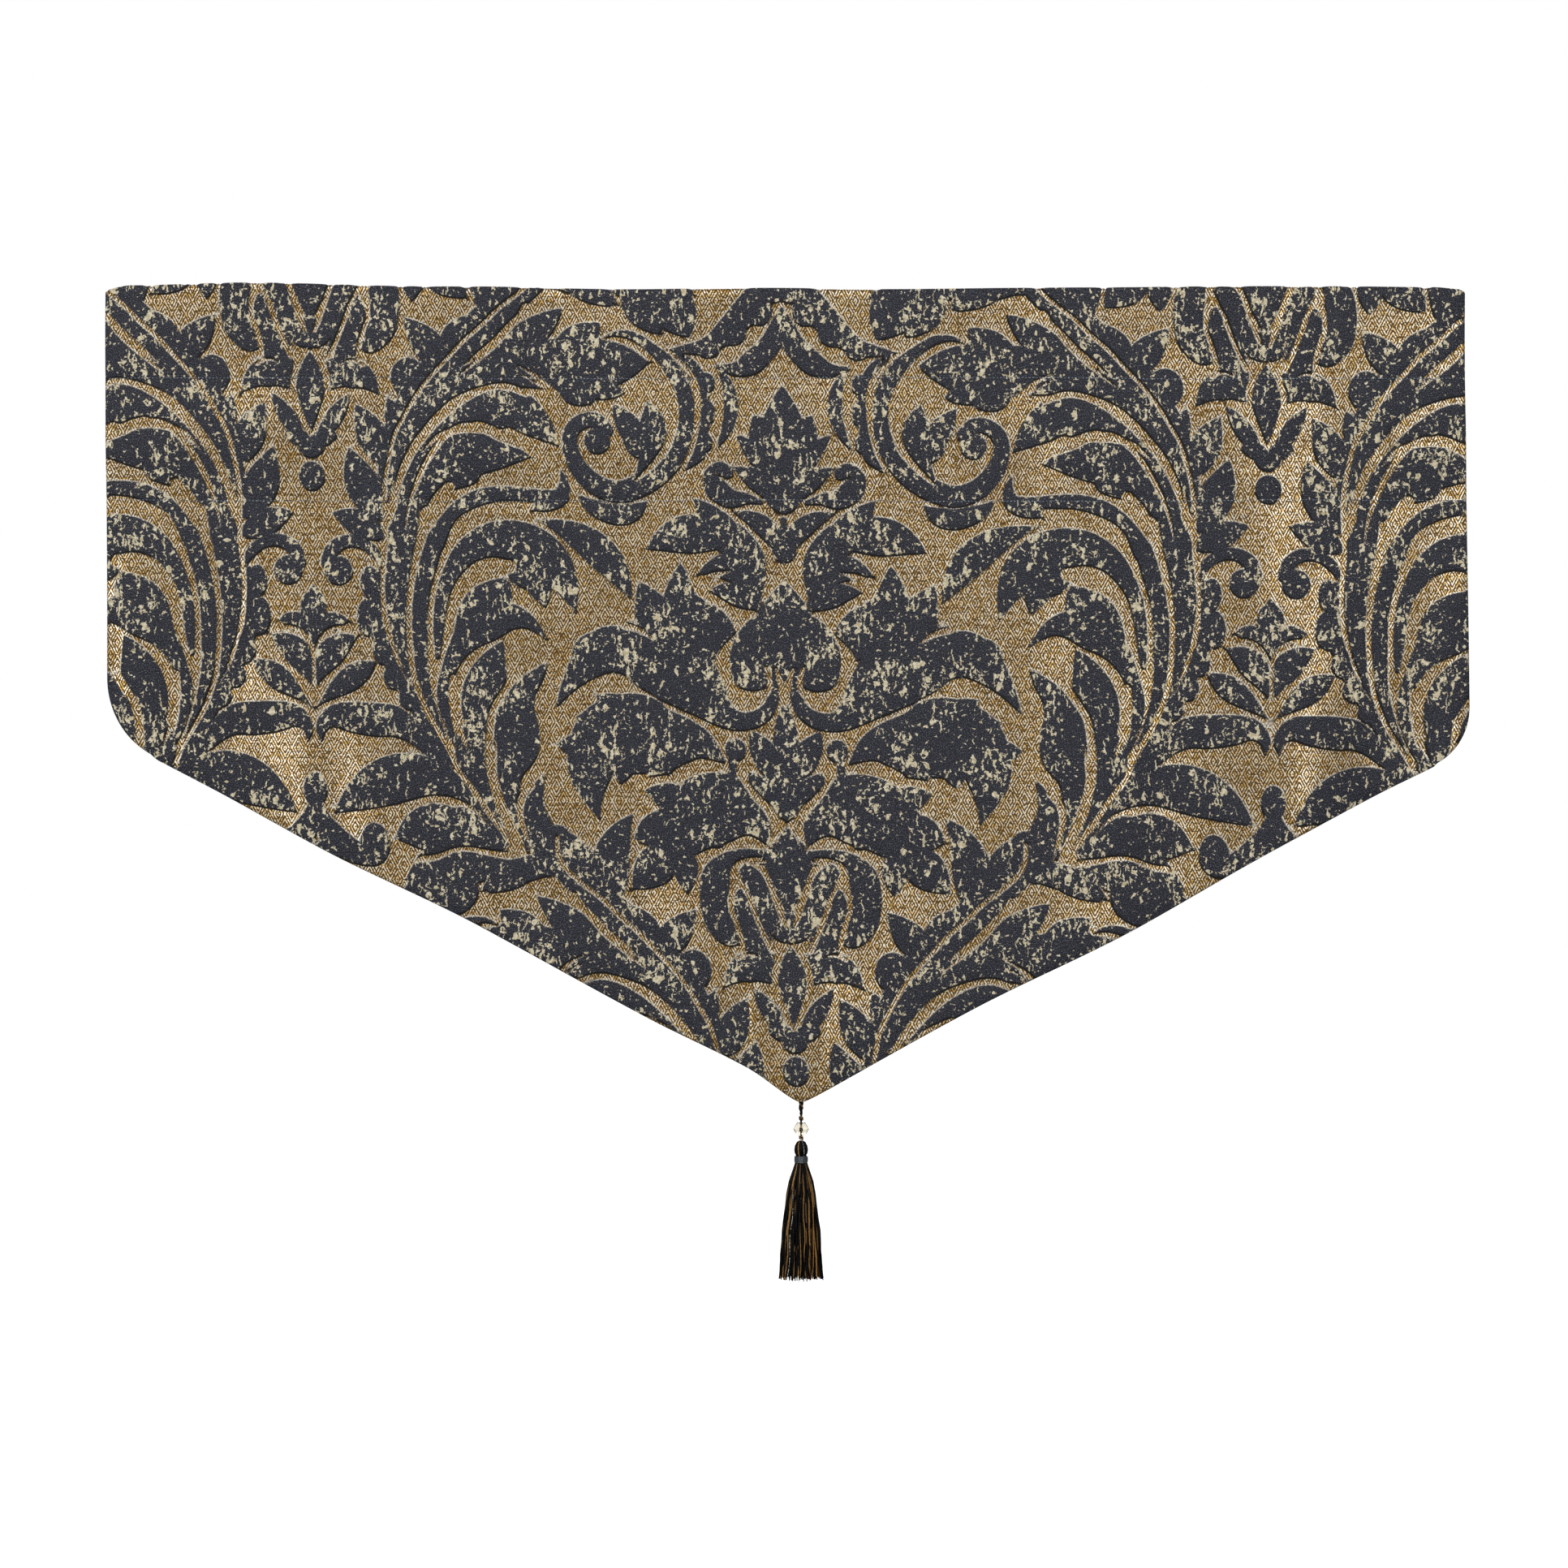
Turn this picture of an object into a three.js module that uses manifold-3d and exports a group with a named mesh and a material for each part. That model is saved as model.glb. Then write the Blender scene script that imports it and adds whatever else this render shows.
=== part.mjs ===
// Ascot valance: a pointed cloth panel with a heading and a rod pocket along its top,
// and a glass bead and a tassel hanging from its point.
// Millimetres, +Z up. The front faces -Y. The origin is the middle of the top edge.

import * as THREE from 'three';
import { mergeVertices } from 'three/addons/utils/BufferGeometryUtils.js';
import Module from 'manifold-3d';

const wasm = await Module();
wasm.setup();

const { smoothstep, lerp } = THREE.MathUtils;

// Outline of the panel, drops measured down from the top edge
const LEFT_EDGE = -419.5;
const RIGHT_EDGE = 418.5;
const LEFT_DROP = 273; // where the left edge and the slanted hem would meet
const RIGHT_DROP = 282;
const POINT = { x: 9.5, drop: 501.5 };
const LEFT_CORNER_RADIUS = 55;
const RIGHT_CORNER_RADIUS = 40;
const POINT_RADIUS = 2.5;
const LEFT_TAPER = 2; // how far the left edge leans in by its lower end
const RIGHT_FLARE = 2.5; // how far the right edge leans out by its lower end

// Cloth and its seams
const SHEET = 1.6; // thickness of the cloth
const HEADING = 55.5; // top edge to the upper seam
const POCKET = 75.5; // upper seam to the lower seam
const CASING_TAIL = 6; // turned edge of the casing below the lower seam
const UPPER_SEAM = -HEADING;
const LOWER_SEAM = -HEADING - POCKET;
const FOLD_GAP = 1.2; // between the two layers just under the top fold
const SEAM_GAP = 0.4; // between the two layers where they are sewn
const POCKET_OPENING = 9; // between the two layers at the middle of the pocket
const FRONT_SWELL = 1.8; // how far the front of the pocket stands out
const SEAM_PINCH = { depth: 0.6, width: 5 };
const FOLD_RADIUS = (SHEET + FOLD_GAP) / 2;
const FRONT_PLANE = -FOLD_RADIUS; // middle of the front layer, so that the top fold is centred on y = 0

// How uneven the top edge and the slanted hems hang
const TOP_EDGE = [
  { x: -420, rise: -2.5 },
  { x: -404, rise: 1.5 },
  { x: -330, rise: 3.2 },
  { x: -200, rise: 0.8 },
  { x: -90, rise: -0.7 },
  { x: 0, rise: 0 },
  { x: 80, rise: -0.7 },
  { x: 190, rise: 0.5 },
  { x: 340, rise: 1.2 },
  { x: 398, rise: 0.2 },
  { x: 419, rise: -2.3 },
];
const HEM_BOW = [
  { x: -420, rise: 0 },
  { x: -284, rise: -0.4 },
  { x: -184, rise: 3.5 },
  { x: -84, rise: 2.5 },
  { x: -24, rise: 4.6 },
  { x: 9.5, rise: 0 },
  { x: 116, rise: 1.7 },
  { x: 216, rise: -2.2 },
  { x: 316, rise: 1.5 },
  { x: 421, rise: 0 },
];

// Soft folds, from left to right. x is the fold's middle where it starts, lean is how far it has
// moved sideways at the hem, width is its half width, out is how far it stands towards the viewer
// (a negative one is a trough), start is the drop at which it begins and reach how long it takes to grow.
const FOLDS = [
  { x: -404, lean: -4, width: 24, out: 6.5, start: 120, reach: 170 },
  { x: -352, lean: 4, width: 24, out: -6, start: 130, reach: 190 },
  { x: -300, lean: 12, width: 26, out: 5.5, start: 115, reach: 220 },
  { x: -236, lean: 20, width: 34, out: -4.5, start: 140, reach: 240 },
  { x: -150, lean: 26, width: 46, out: 2.5, start: 150, reach: 260 },
  { x: -40, lean: 6, width: 50, out: -2.5, start: 220, reach: 220 },
  { x: 12, lean: -2, width: 34, out: 5, start: 330, reach: 170 },
  { x: 95, lean: -14, width: 50, out: -2, start: 200, reach: 240 },
  { x: 190, lean: -20, width: 44, out: 2.5, start: 150, reach: 250 },
  { x: 262, lean: -14, width: 32, out: -5, start: 135, reach: 230 },
  { x: 318, lean: -6, width: 26, out: 6, start: 115, reach: 210 },
  { x: 364, lean: 0, width: 20, out: -5.5, start: 130, reach: 180 },
  { x: 402, lean: 4, width: 20, out: 6.5, start: 120, reach: 170 },
];
const HEADING_WAVE = { out: 1.6, length: 150, start: 36 }; // sideways ripple of the heading

// Mesh of the panel
const CORNER_STEPS = [0, 1.2, 4, 9, 16, 26, 38]; // columns in from a side edge
const COLUMNS_TO_POINT = 18; // columns from a corner to the point
const LOWER_ROWS = 12; // rows from hem to lower seam
const TURN_STEPS = 4; // steps around the top fold

// Cord, bead and tassel, heights measured from the point of the panel
const CLEARANCE = 0.3;
const POINT_Z = -POINT.drop;
const BEAD = { top: 12.4, height: 8.2, radius: 5, table: 2.3, hole: 1.25, sides: 8 };
const CORD_PLIES = 2;
const CORD_LOBE = 0.28; // how far each ply stands out, as a share of the cord's radius
const CORD_TWIST = 7; // length of one full turn of the plies
const CORD_STEP = 0.85;
const CORD_SIDES = 10;
const CORD_PROFILE = [
  { drop: -7.5, radius: 1.0 },
  { drop: 0.5, radius: 1.2 },
  { drop: 4, radius: 0.9 },
  { drop: 8.2, radius: 0.75 },
  { drop: 10, radius: 1.5 },
  { drop: 11.6, radius: 0.7 },
  { drop: 20.8, radius: 0.7 },
  { drop: 22.2, radius: 1.4 },
  { drop: 23.1, radius: 1.0 },
];
const HEAD_TOP = 23.4;
const HEAD_RIDGES = 14;
const HEAD_RIDGE_DEPTH = 0.045;
const HEAD_SIDES = 42;
const HEAD_PROFILE = [
  { drop: 0.4, radius: 1.7 },
  { drop: 1.6, radius: 3.1 },
  { drop: 3.6, radius: 4.0 },
  { drop: 6, radius: 4.3 },
  { drop: 8.2, radius: 4.05 },
  { drop: 9.3, radius: 3.35 },
  { drop: 14.4, radius: 3.35 },
  { drop: 17, radius: 4.1 },
  { drop: 21, radius: 4.6 },
  { drop: 23.5, radius: 2.2 },
];
const HEAD_HEIGHT = 24.5;
const BINDING = { drop: 9.5, height: 4.6, inner: 3.65, thickness: 0.45, turns: 5, ridge: 0.16, sides: 24 };
const SKIRT_DROP = HEAD_TOP + 14.4;
const SKIRT_LENGTH = 71.5;
const SKIRT_PROFILE = [
  { drop: 0, radius: 3.1 },
  { drop: 6, radius: 6.5 },
  { drop: 12, radius: 7.9 },
  { drop: 20, radius: 9.4 },
  { drop: 30, radius: 10.9 },
  { drop: 42, radius: 12.2 },
  { drop: 55, radius: 13.1 },
  { drop: 66, radius: 13.8 },
  { drop: 71.5, radius: 14.6 },
];
// Rings of locks in the skirt: how many, and how far out as a share of the skirt's radius
const SKIRT_RINGS = [
  { locks: 44, share: 0.94 },
  { locks: 30, share: 0.68 },
  { locks: 18, share: 0.42 },
  { locks: 8, share: 0.17 },
];
const LOCK_STEPS = 5;
const LOCK_WIDTH = 0.66; // share of the room that a lock has in its ring
const LOCK_UNEVEN = 2.2; // how much the locks differ in length

const CLOTH_GOLD = new THREE.MeshStandardMaterial({ color: 0x7d6d55, roughness: 0.6, metalness: 0.1 });
const CORD_BLACK = new THREE.MeshStandardMaterial({ color: 0x1c1a19, roughness: 0.45, metalness: 0 });
const BEAD_GLASS = new THREE.MeshStandardMaterial({ color: 0xe6e0d2, roughness: 0.05, metalness: 0 });
const YARN_BLACK = new THREE.MeshStandardMaterial({ color: 0x241f1b, roughness: 0.4, metalness: 0 });
const BINDING_GREY = new THREE.MeshStandardMaterial({ color: 0x3a3d45, roughness: 0.3, metalness: 0.1 });

// The value of a column of a table at a place along it, eased from row to row.
function readTable(rows, along, column, place) {
  if (place <= rows[0][along]) return rows[0][column];
  for (let i = 1; i < rows.length; i++) {
    const low = rows[i - 1];
    const high = rows[i];
    if (place <= high[along]) {
      return lerp(low[column], high[column], smoothstep(place, low[along], high[along]));
    }
  }
  return rows[rows.length - 1][column];
}

// A number from -1 to 1 that looks random and is the same each time.
function uneven(seed) {
  const wave = Math.sin(seed * 12.9898) * 43758.5453;
  return 2 * (wave - Math.floor(wave)) - 1;
}

// A closed mesh from points and triangles.
function closedGeometry(points, triangles) {
  const geometry = new THREE.BufferGeometry();
  geometry.setAttribute('position', new THREE.Float32BufferAttribute(points.flat(), 3));
  geometry.setIndex(triangles.flat());
  geometry.computeVertexNormals();
  return geometry;
}

// A solid skin over rings of points, one after the other from top to bottom, closed by a fan at each end.
// Seen from above, each ring runs anticlockwise.
function skinRings(rings, topPoint, bottomPoint) {
  const sides = rings[0].length;
  const points = [...rings.flat(), topPoint, bottomPoint];
  const top = points.length - 2;
  const bottom = points.length - 1;
  const last = (rings.length - 1) * sides;
  const triangles = [];
  for (let side = 0; side < sides; side++) {
    const next = (side + 1) % sides;
    triangles.push([top, side, next], [bottom, last + next, last + side]);
    for (let ring = 0; ring + 1 < rings.length; ring++) {
      const upper = ring * sides;
      const lower = upper + sides;
      triangles.push([upper + side, lower + side, lower + next], [upper + side, lower + next, upper + next]);
    }
  }
  return closedGeometry(points, triangles);
}

// Height of the top edge.
function topEdge(x) {
  return readTable(TOP_EDGE, 'x', 'rise', x);
}

// Height of the bottom edge: two slanted hems that meet in the point, rounded into the side edges.
function hemEdge(x) {
  const left = x < POINT.x;
  const edge = left ? LEFT_EDGE : RIGHT_EDGE;
  const cornerZ = left ? -LEFT_DROP : -RIGHT_DROP;
  const radius = left ? LEFT_CORNER_RADIUS : RIGHT_CORNER_RADIUS;
  const inward = Math.abs(x - edge);
  const slope = (-POINT.drop - cornerZ) / Math.abs(POINT.x - edge);
  const steepness = Math.hypot(1, slope);
  const arcEnd = radius * (1 + slope / steepness);
  if (inward < arcEnd) {
    const arcCentre = cornerZ + radius * (slope + steepness);
    return arcCentre - Math.sqrt(radius ** 2 - (radius - inward) ** 2);
  }
  const fromPoint = Math.abs(x - POINT.x);
  const rounded = Math.hypot(fromPoint, POINT_RADIUS) - POINT_RADIUS;
  return -POINT.drop - slope * rounded + readTable(HEM_BOW, 'x', 'rise', x);
}

// How far the cloth stands back from its flat front, folds and all.
function clothDepth(x, z) {
  let depth = 0;
  for (const fold of FOLDS) {
    const grown = smoothstep(-z, fold.start, fold.start + fold.reach);
    const aside = (x - fold.x - fold.lean * grown) / fold.width;
    depth -= fold.out * grown * Math.exp(-aside * aside);
  }
  const aboveSeam = smoothstep(z, -HEADING_WAVE.start, 0);
  return depth + HEADING_WAVE.out * aboveSeam * Math.sin((2 * Math.PI * x) / HEADING_WAVE.length);
}

// How far the pocket is opened at a height: 0 at its seams and 1 half way between them.
function pocketSwell(z) {
  if (z <= LOWER_SEAM || z >= UPPER_SEAM) return 0;
  return Math.sin((Math.PI * (z - LOWER_SEAM)) / POCKET);
}

// How far a row of stitches draws the front of the cloth in.
function seamPinch(z) {
  const draw = (seam) => Math.exp(-(((z - seam) / SEAM_PINCH.width) ** 2));
  return SEAM_PINCH.depth * (draw(UPPER_SEAM) + draw(LOWER_SEAM));
}

// Middle of the front layer.
function frontLayer(x, z) {
  return FRONT_PLANE + clothDepth(x, z) - FRONT_SWELL * pocketSwell(z) + seamPinch(z);
}

// Free space between the front layer and the layer turned down behind it.
function layerGap(x, z) {
  const heading = smoothstep(z, UPPER_SEAM, topEdge(x));
  return lerp(SEAM_GAP, FOLD_GAP, heading) + (POCKET_OPENING - SEAM_GAP) * pocketSwell(z);
}

// Heights of the rows in the pocket and the heading, from the lower seam up to the top fold.
function upperHeights(x) {
  const pocketShares = [0, 0.08, 0.22, 0.38, 0.5, 0.62, 0.78, 0.92];
  const headingShares = [0, 0.12, 0.5, 1];
  const foldStart = topEdge(x) - FOLD_RADIUS - SHEET / 2;
  return [
    ...pocketShares.map((share) => lerp(LOWER_SEAM, UPPER_SEAM, share)),
    ...headingShares.map((share) => lerp(UPPER_SEAM, foldStart, share)),
  ];
}

// One upright section of the cloth: from the hem up the front, over the top, and down behind to the casing's end.
// Each entry holds the [y, z] of the outer and of the inner side of the cloth.
function clothSection(x) {
  const half = SHEET / 2;
  const upper = upperHeights(x);
  const hem = hemEdge(x);
  const lower = Array.from({ length: LOWER_ROWS }, (_, row) => lerp(hem, LOWER_SEAM, row / LOWER_ROWS));
  const front = [...lower, ...upper].map((z) => {
    const y = frontLayer(x, z);
    return { outer: [y - half, z], inner: [y + half, z] };
  });
  const foldStart = upper[upper.length - 1];
  const foldMiddle = frontLayer(x, foldStart) + FOLD_RADIUS;
  const turn = [];
  for (let step = 1; step < TURN_STEPS; step++) {
    const angle = (Math.PI * step) / TURN_STEPS;
    const around = (radius) => [foldMiddle - radius * Math.cos(angle), foldStart + radius * Math.sin(angle)];
    turn.push({ outer: around(FOLD_RADIUS + half), inner: around(FOLD_RADIUS - half) });
  }
  const behind = [...upper].reverse();
  behind.push(LOWER_SEAM - CASING_TAIL);
  const back = behind.map((z) => {
    const y = frontLayer(x, z) + SHEET + layerGap(x, z);
    return { outer: [y + half, z], inner: [y - half, z] };
  });
  return [...front, ...turn, ...back];
}

// Places of the upright sections, closer together at the corners and at the point.
function columnPlaces() {
  const places = CORNER_STEPS.map((step) => LEFT_EDGE + step);
  const firstInner = CORNER_STEPS[CORNER_STEPS.length - 1];
  for (let i = 1; i < COLUMNS_TO_POINT; i++) {
    places.push(lerp(LEFT_EDGE + firstInner, POINT.x, i / COLUMNS_TO_POINT));
  }
  places.push(POINT.x - POINT_RADIUS, POINT.x, POINT.x + POINT_RADIUS);
  for (let i = 1; i < COLUMNS_TO_POINT; i++) {
    places.push(lerp(POINT.x, RIGHT_EDGE - firstInner, i / COLUMNS_TO_POINT));
  }
  places.push(...CORNER_STEPS.map((step) => RIGHT_EDGE - step).reverse());
  return places;
}

// How far a point moves sideways because the side edges aren't quite upright.
function sideLean(x, z) {
  const lowered = smoothstep(-z, 0, LEFT_DROP);
  const across = x < 0 ? x / LEFT_EDGE : x / RIGHT_EDGE;
  return lowered * across * (x < 0 ? LEFT_TAPER : RIGHT_FLARE);
}

// The panel: sections skinned from the left edge to the right one, with a flat face at each side edge.
function panelGeometry() {
  const places = columnPlaces();
  const sections = places.map(clothSection);
  const rows = sections[0].length;
  const round = 2 * rows;
  const points = [];
  sections.forEach((section, column) => {
    const place = ([y, z]) => [places[column] + sideLean(places[column], z), y, z];
    points.push(...section.map((row) => place(row.outer)));
    points.push(...section.map((row) => place(row.inner)).reverse());
  });
  const triangles = [];
  for (let column = 0; column + 1 < places.length; column++) {
    for (let i = 0; i < round; i++) {
      const next = (i + 1) % round;
      const a = column * round;
      const b = a + round;
      triangles.push([a + i, b + i, b + next], [a + i, b + next, a + next]);
    }
  }
  const last = (places.length - 1) * round;
  for (let row = 0; row + 1 < rows; row++) {
    const inner = round - 1 - row;
    triangles.push([row, row + 1, inner - 1], [row, inner - 1, inner]);
    triangles.push([last + row, last + inner - 1, last + row + 1], [last + row, last + inner, last + inner - 1]);
  }
  return closedGeometry(points, triangles);
}

// The axis on which cord, bead and tassel hang: just behind the cloth at its point.
function hangingAxis() {
  const widest = CORD_PROFILE[1].radius * (1 + CORD_LOBE);
  const cordTop = POINT_Z - CORD_PROFILE[0].drop;
  const clothBack = Math.max(frontLayer(POINT.x, POINT_Z), frontLayer(POINT.x, cordTop)) + SHEET / 2;
  return new THREE.Vector3(POINT.x, clothBack + CLEARANCE + widest, POINT_Z);
}

// The twisted cord, swelling into a knot above and below the bead.
function cordGeometry() {
  const first = CORD_PROFILE[0].drop;
  const last = CORD_PROFILE[CORD_PROFILE.length - 1].drop;
  const steps = Math.ceil((last - first) / CORD_STEP);
  const rings = [];
  for (let step = 0; step <= steps; step++) {
    const drop = lerp(first, last, step / steps);
    const turned = (2 * Math.PI * drop) / CORD_TWIST;
    const radius = readTable(CORD_PROFILE, 'drop', 'radius', drop);
    rings.push(
      Array.from({ length: CORD_SIDES }, (_, side) => {
        const angle = (2 * Math.PI * side) / CORD_SIDES;
        const out = radius * (1 + CORD_LOBE * Math.cos(CORD_PLIES * (angle - turned)));
        return [out * Math.cos(angle), out * Math.sin(angle), -drop];
      }),
    );
  }
  return skinRings(rings, [0, 0, -first], [0, 0, -last]);
}

// The bead: two flat tables, a faceted crown and pavilion that meet in a girdle, and a hole down the middle.
function beadGeometry() {
  const half = BEAD.height / 2;
  const rings = [
    { radius: BEAD.hole, z: half, turn: 0 },
    { radius: BEAD.table, z: half, turn: 0 },
    { radius: BEAD.radius, z: 0, turn: 0.5 },
    { radius: BEAD.table, z: -half, turn: 0 },
    { radius: BEAD.hole, z: -half, turn: 0 },
  ];
  const points = rings.flatMap(({ radius, z, turn }) =>
    Array.from({ length: BEAD.sides }, (_, side) => {
      const angle = (2 * Math.PI * (side + turn)) / BEAD.sides;
      return [radius * Math.cos(angle), radius * Math.sin(angle), z];
    }),
  );
  const triangles = [];
  rings.forEach((ring, index) => {
    const next = rings[(index + 1) % rings.length];
    const a = index * BEAD.sides;
    const b = ((index + 1) % rings.length) * BEAD.sides;
    for (let side = 0; side < BEAD.sides; side++) {
      const after = (side + 1) % BEAD.sides;
      if (next.turn > ring.turn) triangles.push([a + side, b + side, a + after], [a + after, b + side, b + after]);
      else if (next.turn < ring.turn) triangles.push([a + side, b + after, a + after], [a + side, b + side, b + after]);
      else triangles.push([a + side, b + side, b + after], [a + side, b + after, a + after]);
    }
  });
  return closedGeometry(points, triangles);
}

// The head and neck of the tassel, ridged by the yarns that are folded over it.
function headGeometry() {
  const rings = HEAD_PROFILE.map(({ drop, radius }) =>
    Array.from({ length: HEAD_SIDES }, (_, side) => {
      const angle = (2 * Math.PI * side) / HEAD_SIDES;
      const out = radius * (1 + HEAD_RIDGE_DEPTH * Math.cos(HEAD_RIDGES * angle));
      return [out * Math.cos(angle), out * Math.sin(angle), -drop];
    }),
  );
  return skinRings(rings, [0, 0, 0], [0, 0, -HEAD_HEIGHT]);
}

// One three-sided lock of the skirt, hanging from inside the head's root.
function lockGeometry(ring, ringIndex, lock) {
  const seed = ringIndex * 100 + lock;
  const angle = (2 * Math.PI * (lock + 0.5 * (ringIndex % 2) + 0.12 * uneven(seed))) / ring.locks;
  const length = SKIRT_LENGTH - LOCK_UNEVEN * (0.5 + 0.5 * uneven(seed + 0.5));
  const out = new THREE.Vector2(Math.cos(angle), Math.sin(angle));
  const aside = new THREE.Vector2(-out.y, out.x);
  const rings = [];
  for (let step = 0; step <= LOCK_STEPS; step++) {
    const drop = length * (step / LOCK_STEPS) ** 1.25;
    const radius = ring.share * readTable(SKIRT_PROFILE, 'drop', 'radius', drop);
    const width = (LOCK_WIDTH * 2 * Math.PI * radius) / ring.locks;
    const z = -SKIRT_DROP + HEAD_TOP - drop;
    const corner = (forward, sideways) => [
      out.x * (radius + forward * width) + aside.x * sideways * width,
      out.y * (radius + forward * width) + aside.y * sideways * width,
      z,
    ];
    rings.push([corner(0.45, -0.5), corner(0.45, 0.5), corner(-0.45, 0)]);
  }
  const middle = (points) => [0, 1, 2].map((axis) => points.reduce((sum, point) => sum + point[axis], 0) / points.length);
  return skinRings(rings, middle(rings[0]), middle(rings[LOCK_STEPS]));
}

// A geometry as a solid that can be joined to others.
function solidOf(geometry) {
  const bare = new THREE.BufferGeometry();
  bare.setAttribute('position', geometry.getAttribute('position'));
  bare.setIndex(geometry.getIndex());
  const merged = mergeVertices(bare, 1e-4);
  return new wasm.Manifold(
    new wasm.Mesh({
      numProp: 3,
      vertProperties: merged.getAttribute('position').array,
      triVerts: new Uint32Array(merged.getIndex().array),
    }),
  );
}

// The tassel in one solid: the head, with every lock of the skirt fused to it at its root.
function tasselGeometry() {
  let tassel = solidOf(headGeometry());
  SKIRT_RINGS.forEach((ring, ringIndex) => {
    for (let lock = 0; lock < ring.locks; lock++) {
      tassel = tassel.add(solidOf(lockGeometry(ring, ringIndex, lock)));
    }
  });
  const mesh = tassel.getMesh();
  const geometry = new THREE.BufferGeometry();
  geometry.setAttribute('position', new THREE.Float32BufferAttribute(mesh.vertProperties, 3));
  geometry.setIndex(Array.from(mesh.triVerts));
  geometry.computeVertexNormals();
  return geometry;
}

// The wrapped band around the neck, ribbed by its turns of yarn.
function bindingGeometry() {
  const outer = BINDING.inner + BINDING.thickness;
  const profile = [new THREE.Vector2(BINDING.inner, -BINDING.height)];
  for (let turn = 0; turn < BINDING.turns; turn++) {
    const low = -BINDING.height + (BINDING.height * turn) / BINDING.turns;
    const pitch = BINDING.height / BINDING.turns;
    profile.push(new THREE.Vector2(outer - BINDING.ridge, low));
    profile.push(new THREE.Vector2(outer, low + pitch / 2));
  }
  profile.push(new THREE.Vector2(outer - BINDING.ridge, 0));
  profile.push(new THREE.Vector2(BINDING.inner, 0));
  profile.push(profile[0].clone());
  return new THREE.LatheGeometry(profile, BINDING.sides).rotateX(Math.PI / 2);
}

function addPiece(group, name, geometry, material, drop = 0) {
  const mesh = new THREE.Mesh(geometry, material);
  mesh.name = name;
  mesh.position.z = -drop;
  group.add(mesh);
}

const hanging = new THREE.Group();
hanging.position.copy(hangingAxis());
addPiece(hanging, 'tassel_cord', cordGeometry(), CORD_BLACK);
addPiece(hanging, 'glass_bead', beadGeometry(), BEAD_GLASS, BEAD.top + BEAD.height / 2);
addPiece(hanging, 'tassel', tasselGeometry(), YARN_BLACK, HEAD_TOP);
addPiece(hanging, 'neck_binding', bindingGeometry(), BINDING_GREY, HEAD_TOP + BINDING.drop);

const valance = new THREE.Group();
addPiece(valance, 'valance_panel', panelGeometry(), CLOTH_GOLD);
valance.add(hanging);

export default valance;
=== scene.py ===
"""Ascot valance in woven damask with a rod pocket, and a tassel hung from its point.

The cloth is drawn flat in millimetres, cut along the leaves of its figure, and then hung on the same
folds as the solids. The tassel's yarns, cord and stitches are swept or set by Geometry Nodes.
"""
from __future__ import annotations

import logging
import math
from dataclasses import dataclass
from enum import Enum
from itertools import product

import bpy
import numpy as np
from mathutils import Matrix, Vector
from mathutils.geometry import delaunay_2d_cdt
from mathutils.kdtree import KDTree


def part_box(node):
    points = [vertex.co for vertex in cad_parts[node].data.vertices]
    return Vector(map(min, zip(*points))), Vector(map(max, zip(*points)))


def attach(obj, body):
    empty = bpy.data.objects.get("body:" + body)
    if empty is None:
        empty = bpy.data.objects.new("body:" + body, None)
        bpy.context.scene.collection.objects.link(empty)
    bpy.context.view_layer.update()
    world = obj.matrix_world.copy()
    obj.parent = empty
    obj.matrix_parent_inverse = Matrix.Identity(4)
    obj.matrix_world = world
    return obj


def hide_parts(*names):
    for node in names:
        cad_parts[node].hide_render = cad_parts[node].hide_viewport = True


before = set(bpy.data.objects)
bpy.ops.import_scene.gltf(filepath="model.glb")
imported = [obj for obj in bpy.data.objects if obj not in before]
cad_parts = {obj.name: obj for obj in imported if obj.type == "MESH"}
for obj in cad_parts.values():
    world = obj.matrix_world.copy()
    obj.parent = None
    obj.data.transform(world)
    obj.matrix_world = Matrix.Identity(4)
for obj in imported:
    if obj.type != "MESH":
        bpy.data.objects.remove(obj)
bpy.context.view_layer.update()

LOG = logging.getLogger("valance")
MM = 0.001
Point = tuple[float, float]
Rows = tuple[tuple[float, float], ...]
Colour = tuple[float, float, float]
Array = np.ndarray
Dice = np.random.Generator
Socket = bpy.types.NodeSocket
Piece = bpy.types.Object


class Slot(Enum):
    """Finish slots of the record."""

    DAMASK = "damask_cloth"
    CORD = "twisted_cord"
    GLASS = "clear_glass"
    YARN = "tassel_yarn"
    BINDING = "satin_binding"


class Work(Enum):
    """Sums that a finish is mixed with."""

    ADD = "ADD"
    TAKE = "SUBTRACT"
    TIMES = "MULTIPLY"
    SHARE = "DIVIDE"
    PART = "FRACT"
    SIZE = "ABSOLUTE"
    MOST = "MAXIMUM"
    BELOW = "LESS_THAN"


class ClothSide(Enum):
    """Material places on the panel: the woven face and the reverse of the cloth."""

    FACE = 0
    REVERSE = 1


def ease(value: Array, low: float | Array, high: float | Array) -> Array:
    """Step softly from 0 at low to 1 at high."""
    share = np.clip((value - low) / (high - low), 0.0, 1.0)
    return share * share * (3.0 - 2.0 * share)


def read_rows(rows: Rows, places: Array) -> Array:
    """Read a table of place and value, eased from row to row.

    Args:
        rows: The table, in rising places.
        places: Where to read it.

    Returns:
        One value for each place.
    """
    table = np.array(rows, float)
    row = np.clip(np.searchsorted(table[:, 0], places) - 1, 0, len(table) - 2)
    share = ease(places, table[row, 0], table[row + 1, 0])
    return table[row, 1] + (table[row + 1, 1] - table[row, 1]) * share


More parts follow.
